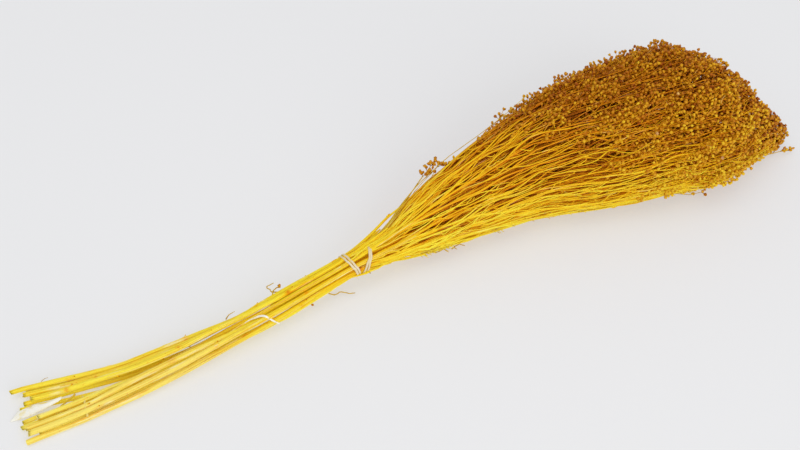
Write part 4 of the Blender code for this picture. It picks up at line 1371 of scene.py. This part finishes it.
# Each: its radius at the foot and at the tip, how brown and how bare it is, and its way in millimetres.
TENDRILS = (
    (0.7, 0.5, 0.42, 0.0, ((-268, -8.5, 7), (-273, -11, 7.5), (-279.3, -12.5, 6), (-282.1, -16.6, 6.5),
        (-286.1, -21.8, 6.5))),
    (0.7, 0.8, 0.05, 0.45, ((-264.1, -11.4, 6), (-263.7, -16.2, 8), (-265.1, -22.3, 8.5),
        (-265.8, -27.8, 5))),
    (0.55, 0.3, 0.5, 0.1, ((-293, 10.4, 6), (-297.5, 7.8, 6.5), (-300.2, 6.0, 6))),
    (0.2, 0.14, 0.7, 0.0, ((-285.5, 12.5, 6), (-282.7, 12.2, 8), (-280.4, 10.6, 10))),
    (0.45, 0.2, 0.6, 0.0, ((-156, -2, 14), (-153.4, -0.8, 16), (-151.7, -1.5, 17.5), (-148.6, -1.6, 18.5))),
    (0.55, 0.28, 0.5, 0.0, ((-113, 0, 17), (-116.9, 2.4, 17), (-119.5, 3.8, 17), (-118.9, 5, 18),
        (-120.7, 6.6, 18.5), (-120.8, 8.1, 19), (-119, 7.4, 20), (-117.2, 7.6, 20), (-115.1, 7.9, 20))),
    (0.5, 0.4, 0.45, 0.0, ((-120, -0.5, 18), (-117.8, 3.0, 18), (-114.5, 3.9, 19), (-112.1, 2.6, 19.5))),
    (0.5, 0.4, 0.2, 0.1, ((-133, -13.5, 9), (-130.7, -15.6, 8), (-128.6, -16.9, 8), (-126.7, -16.5, 9.5))),
    (0.5, 0.45, 0.2, 0.0, ((-105, -8.6, 14), (-101, -9.6, 12), (-98, -10.8, 10), (-96.2, -12.6, 8))),
    (0.3, 0.2, 0.35, 0.1, ((-104, -11.4, 11), (-100.5, -12.2, 9), (-99.3, -12.9, 8))),
    (0.62, 0.34, 0.5, 0.0, ((-90, -5, 11), (-83.1, -6.8, 9), (-80, -9.2, 6.5), (-76.6, -11.4, 5),
        (-72.1, -9.9, 5), (-68.6, -12, 4), (-66.6, -13.6, 3.5), (-62.4, -14.9, 3.5))),
    (0.55, 0.4, 0.85, 0.0, ((-52, -5.6, 17), (-49.1, -6.6, 14), (-46.8, -8.0, 9.5))),
    (0.5, 0.34, 0.55, 0.0, ((-12, -4.5, 12), (-0.8, -7, 8), (3.1, -8.8, 6), (8.3, -9.9, 5), (14.9, -8.6, 5),
        (18.4, -8.6, 6), (19.8, -11.8, 6), (21.4, -14, 5.4))),
    (0.45, 0.28, 0.55, 0.0, ((18.0, -12.5, 6), (20.8, -11.5, 6), (25.1, -10.8, 6), (28.5, -13.5, 5))),
    (0.4, 0.2, 0.2, 0.0, ((-30, 4, 34), (-8.8, 17.3, 38), (8.2, 26.5, 42), (40.4, 36.3, 49),
        (63.9, 37.5, 57), (88, 40.7, 65), (110, 44, 74))),
    (0.4, 0.2, 0.35, 0.0, ((-34, 4, 32), (-14.7, 14.7, 36), (-0.3, 22.4, 39), (16.4, 32.4, 42.6))),
    (0.42, 0.2, 0.4, 0.0, ((-32, 4, 33), (-8.8, 18.3, 37.9), (7.6, 27, 40.3), (25.5, 37, 44.6))),
    (0.36, 0.18, 0.3, 0.0, ((-28, 5, 34), (-2.3, 18.8, 40.2), (13.2, 27.3, 41.7), (29.2, 33, 45.6))),
    (0.36, 0.18, 0.35, 0.0, ((-24, 5, 35), (3.6, 18.6, 41.7), (19.2, 25.8, 43.6), (32.9, 36.8, 46.6))),
    (0.36, 0.2, 0.3, 0.0, ((-20, 6, 36), (7.4, 18.5, 42.3), (23.2, 24.8, 45.6), (34.4, 30.4, 46.6),
        (40.6, 29.5, 47.6))),
    (0.5, 0.26, 0.45, 0.0, ((-38, 3.5, 31), (-16, 13, 36), (-2.3, 20.8, 38.2), (9.4, 28.4, 40.1),
        (19.7, 30.8, 42.6))),
    (0.4, 0.22, 0.3, 0.0, ((-26, 6, 35), (-0.3, 16.7, 41), (11.3, 23.9, 42.9), (25.2, 28.3, 45.6),
        (36.3, 26, 46.6))),
    (0.42, 0.26, 0.4, 0.0, ((262, -34, 5), (278, -37.5, 3.6), (286, -39.5, 3), (293, -40.6, 3.2),
        (299, -42, 3.8), (304.5, -44, 3.6))),
    (0.3, 0.2, 0.3, 0.0, ((286, -31, 8), (295, -34.5, 9.5), (304.2, -36.1, 11.5))),
    (0.3, 0.2, 0.5, 0.0, ((190, -38, 5), (198.3, -42.2, 5), (208, -47.4, 4), (217, -49, 4))),
)
# Where single buds sit on them: the place, which way it faces, and how many crowd round it.
STRAY_BUDS = (
    ((-112.1, 2.6, 19.5), (-0.4, 0.6, 0.7), 1),
    ((-96.2, -12.6, 8), (0.6, -0.6, -0.4), 1),
    ((16.4, 32.4, 42.6), (0.2, 0.7, 0.6), 4),
    ((21.4, 35.6, 43.6), (0.3, 0.8, 0.5), 5),
    ((25.5, 37, 44.6), (0.4, 0.8, 0.5), 6),
    ((29.1, 37.5, 45.6), (0.5, 0.6, 0.6), 6),
    ((29.2, 33, 45.6), (0.6, 0.4, 0.6), 6),
    ((23.8, 32.2, 43.6), (0.3, 0.5, 0.8), 5),
    ((19.7, 30.8, 42.6), (0.3, 0.4, 0.8), 4),
    ((34.4, 30.4, 46.6), (0.6, 0.3, 0.7), 4),
    ((36.3, 26, 46.6), (0.7, 0.2, 0.7), 4),
    ((40.6, 29.5, 47.6), (0.7, 0.4, 0.6), 2),
    ((293, -40.6, 3.4), (0.5, 0.3, 0.7), 3),
    ((299, -42, 4), (0.6, -0.2, 0.7), 4),
    ((304.5, -44, 3.8), (0.9, -0.2, 0.3), 4),
    ((304.2, -36.1, 11.5), (0.6, 0.2, 0.8), 3),
    ((299, -34.3, 7), (0.6, 0.4, 0.7), 3),
    ((217, -49, 4), (0.8, -0.5, 0.1), 2),
)
STRAY_STALK_SIZE = (0.17, 0.2)
FRINGE, FRINGE_SPANS, FRINGE_SIDE = 130, ((-8, 14), (45, 125)), (192, 238)
FRINGE_LENGTH, FRINGE_SIZE, FRINGE_PLACES = (2.0, 5.4), (0.42, 0.26), 6
# Their dye: lemon on the scraps, and olive to brown on the thin curls.
TENDRIL_STOPS = (
    (0.0, (0.88, 0.71, 0.04)),
    (0.2, (0.76, 0.53, 0.05)),
    (0.5, (0.50, 0.30, 0.026)),
    (1.0, (0.24, 0.10, 0.01)),
)


def through(places, count):
    """An even, rounded way through a few places."""
    places = np.array(places, float)
    length = length_along(places)
    at = np.linspace(0, length[-1], count)
    return eased(np.stack([np.interp(at, length, places[:, k]) for k in range(3)], axis=1), 1)


random = np.random.default_rng(83)
gathered = Gathered()
for foot, tip, brown, bare, places in TENDRILS:
    course = through(places, TENDRIL_PLACES)
    course[1:-1] += random.normal(0, 0.06, (TENDRIL_PLACES - 2, 3))
    course[:, 2] = np.maximum(course[:, 2], foot + 0.1)
    radii = np.linspace(foot, tip, TENDRIL_PLACES) * (1 + 0.12 * np.sin(np.arange(TENDRIL_PLACES) * 1.9))
    tone = np.full(TENDRIL_PLACES, 0.08 + 0.42 * brown)
    gathered.add_strands(course[None], radii[None], 6, tone[None], 0.5, bare)
# Short broken twigs fringe the low near edge of the neck.
for _ in range(FRINGE):
    x = random.choice([random.uniform(*span) for span in FRINGE_SPANS])
    angle = math.radians(random.uniform(*FRINGE_SIDE))
    lane = edge_lane(np.array(angle)) * 0.95
    place = np.array([x, *lane_place(np.array(x), lane)])
    way = np.array([random.uniform(0.3, 1.2), random.uniform(-0.9, -0.1), random.uniform(-0.5, 0.5)])
    way *= random.uniform(*FRINGE_LENGTH) / np.linalg.norm(way)
    bow = place + way * 0.5 + random.normal(0, 0.4, 3)
    course = through((place - way * 0.4, place, bow, place + way), FRINGE_PLACES)
    course[:, 2] = np.maximum(course[:, 2], 0.4)
    tone = random.choice([0.0, 0.05, 0.2])
    radii = np.linspace(*FRINGE_SIZE, FRINGE_PLACES)
    gathered.add_strands(course[None], radii[None], 4, tone, random.random(), 0.05)
stray_tips, stray_ways = [], []
for place, way, count in STRAY_BUDS:
    place, crowded = np.array(place), count > 1
    for _ in range(count):
        heading = np.array(way) + random.normal(0, 0.5 if crowded else 0.05, 3)
        heading /= np.linalg.norm(heading)
        heading[2] = max(heading[2], -0.2 if place[2] > 6 else 0.05)
        tip = place + heading * (random.uniform(0.8, 3.4) if crowded else 0.3)
        if crowded:
            stalk = np.stack([place, tip + heading * 0.2])
            gathered.add_strands(stalk[None], np.array([STRAY_STALK_SIZE]), 3, 0.5, 0.5, 0.0)
        stray_tips.append(tip)
        stray_ways.append(heading)
stray_tips, stray_ways = np.array(stray_tips), np.array(stray_ways)
# The tendrils get some painted shade on their undersides and a weak painted glow.
tendril_skin = stalk_finish(
    "dyed tendrils", across=1.3, along=0.05, streak=0.3, pale=0.3, speck=0.25, varied=0.26, underside_shade=0.4,
    through=(0.04, 0.027, 0.012), stops=TENDRIL_STOPS)
tendrils = gathered.piece("loose_tendrils", tendril_skin)
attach(tendrils, "root")
gathered = Gathered()
count = len(stray_tips)
paint = (random.uniform(0.2, 0.5, count), random.random(count), np.zeros(count))
add_buds(gathered, stray_tips, stray_ways, *paint)
stray = gathered.piece("stray_buds", bud_skin)
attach(stray, "root")

# The shreds: a few fine threads of the band's own rubber, which have split off its edge where it is
# stretched. They stand off it under its crossing, on the near side.

SHREDS = (
    ((-59.6, -6.4, 16.5), (-58.3, -7.6, 13.5), (-56.7, -8.6, 9)),
    ((-57.2, -7.6, 15.5), (-55.0, -8.6, 13.5), (-52.6, -8.4, 13.2), (-50.2, -8.0, 14.6)),
    ((-56.4, -6.8, 17.5), (-53.8, -7.7, 15.6), (-50.4, -7.6, 16.4)),
)
SHRED_PLACES, SHRED_SIZE = 14, 0.24
gathered = Gathered()
for places in SHREDS:
    course = through(places, SHRED_PLACES)
    gathered.add_strands(course[None], np.full((1, SHRED_PLACES), SHRED_SIZE), 5, 0.0, 0.5, 0.0)
shreds = gathered.piece("rubber_shreds", rubber_skin)
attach(shreds, "root")

# A plain pale table top under the bunch, wide enough to fill every view. It glows a little, as a white
# table under studio flash does, so that shadows on it stay faint.

TABLE_WIDE = 40.0
bpy.ops.mesh.primitive_plane_add(size=TABLE_WIDE)
table_top = bpy.context.active_object
table_top.name = "table_top"
table_paint = Finish("matt white card")
table_top.data.materials.append(table_paint.done(
    Base_Color=(0.46, 0.46, 0.47, 1),
    Roughness=0.85,
    Specular_IOR_Level=0.1,
    Emission_Color=(1, 1, 1, 1),
    Emission_Strength=0.4,
))

# Soft studio light: a pale room, a broad light overhead, and a lower one from the near side, so that the
# bunch throws only a faint shadow.

world = bpy.data.worlds.new("pale room")
world.use_nodes = True
walls = world.node_tree.nodes["Background"]
walls.inputs["Color"].default_value = (0.97, 0.98, 1.0, 1)
walls.inputs["Strength"].default_value = 0.62
bpy.context.scene.world = world


def soft_light(name, place, aim, size, power):
    """A broad square light aimed at a point."""
    lamp = bpy.data.lights.new(name, "AREA")
    lamp.shape = "SQUARE"
    lamp.size = size
    lamp.energy = power
    made = bpy.data.objects.new(name, lamp)
    made.location = place
    way = np.array(aim) - np.array(place)
    way = way / np.linalg.norm(way)
    made.rotation_euler = (math.acos(-way[2]), 0, math.atan2(-way[0], way[1]))
    bpy.context.scene.collection.objects.link(made)


soft_light("broad light", (-0.5, -0.1, 2.0), (0.05, 0, 0), 1.6, 8.8)
soft_light("near light", (0.2, -1.7, 1.0), (0.05, 0, 0), 1.4, 11.5)

# The camera looks down on the bunch from the near side, a little from the cut ends, and takes it in from
# end to end.

LENS, SENSOR = 55.0, 36.0
CAMERA_AZIMUTH, CAMERA_HEIGHT, CAMERA_DISTANCE = math.radians(-27), math.radians(50), 0.90
CAMERA_AIM = np.array([-0.011, 0.015, 0.02])
eye = bpy.data.cameras.new("camera")
eye.lens = LENS
eye.sensor_width = SENSOR
eye.clip_start = 0.01
camera = bpy.data.objects.new("camera", eye)
back = np.array([
    math.sin(CAMERA_AZIMUTH) * math.cos(CAMERA_HEIGHT),
    -math.cos(CAMERA_AZIMUTH) * math.cos(CAMERA_HEIGHT),
    math.sin(CAMERA_HEIGHT),
])
camera.location = CAMERA_AIM + back * CAMERA_DISTANCE
camera.rotation_euler = (math.pi / 2 - CAMERA_HEIGHT, 0, CAMERA_AZIMUTH)
bpy.context.scene.collection.objects.link(camera)
bpy.context.scene.camera = camera
bpy.context.scene.view_settings.view_transform = "Standard"
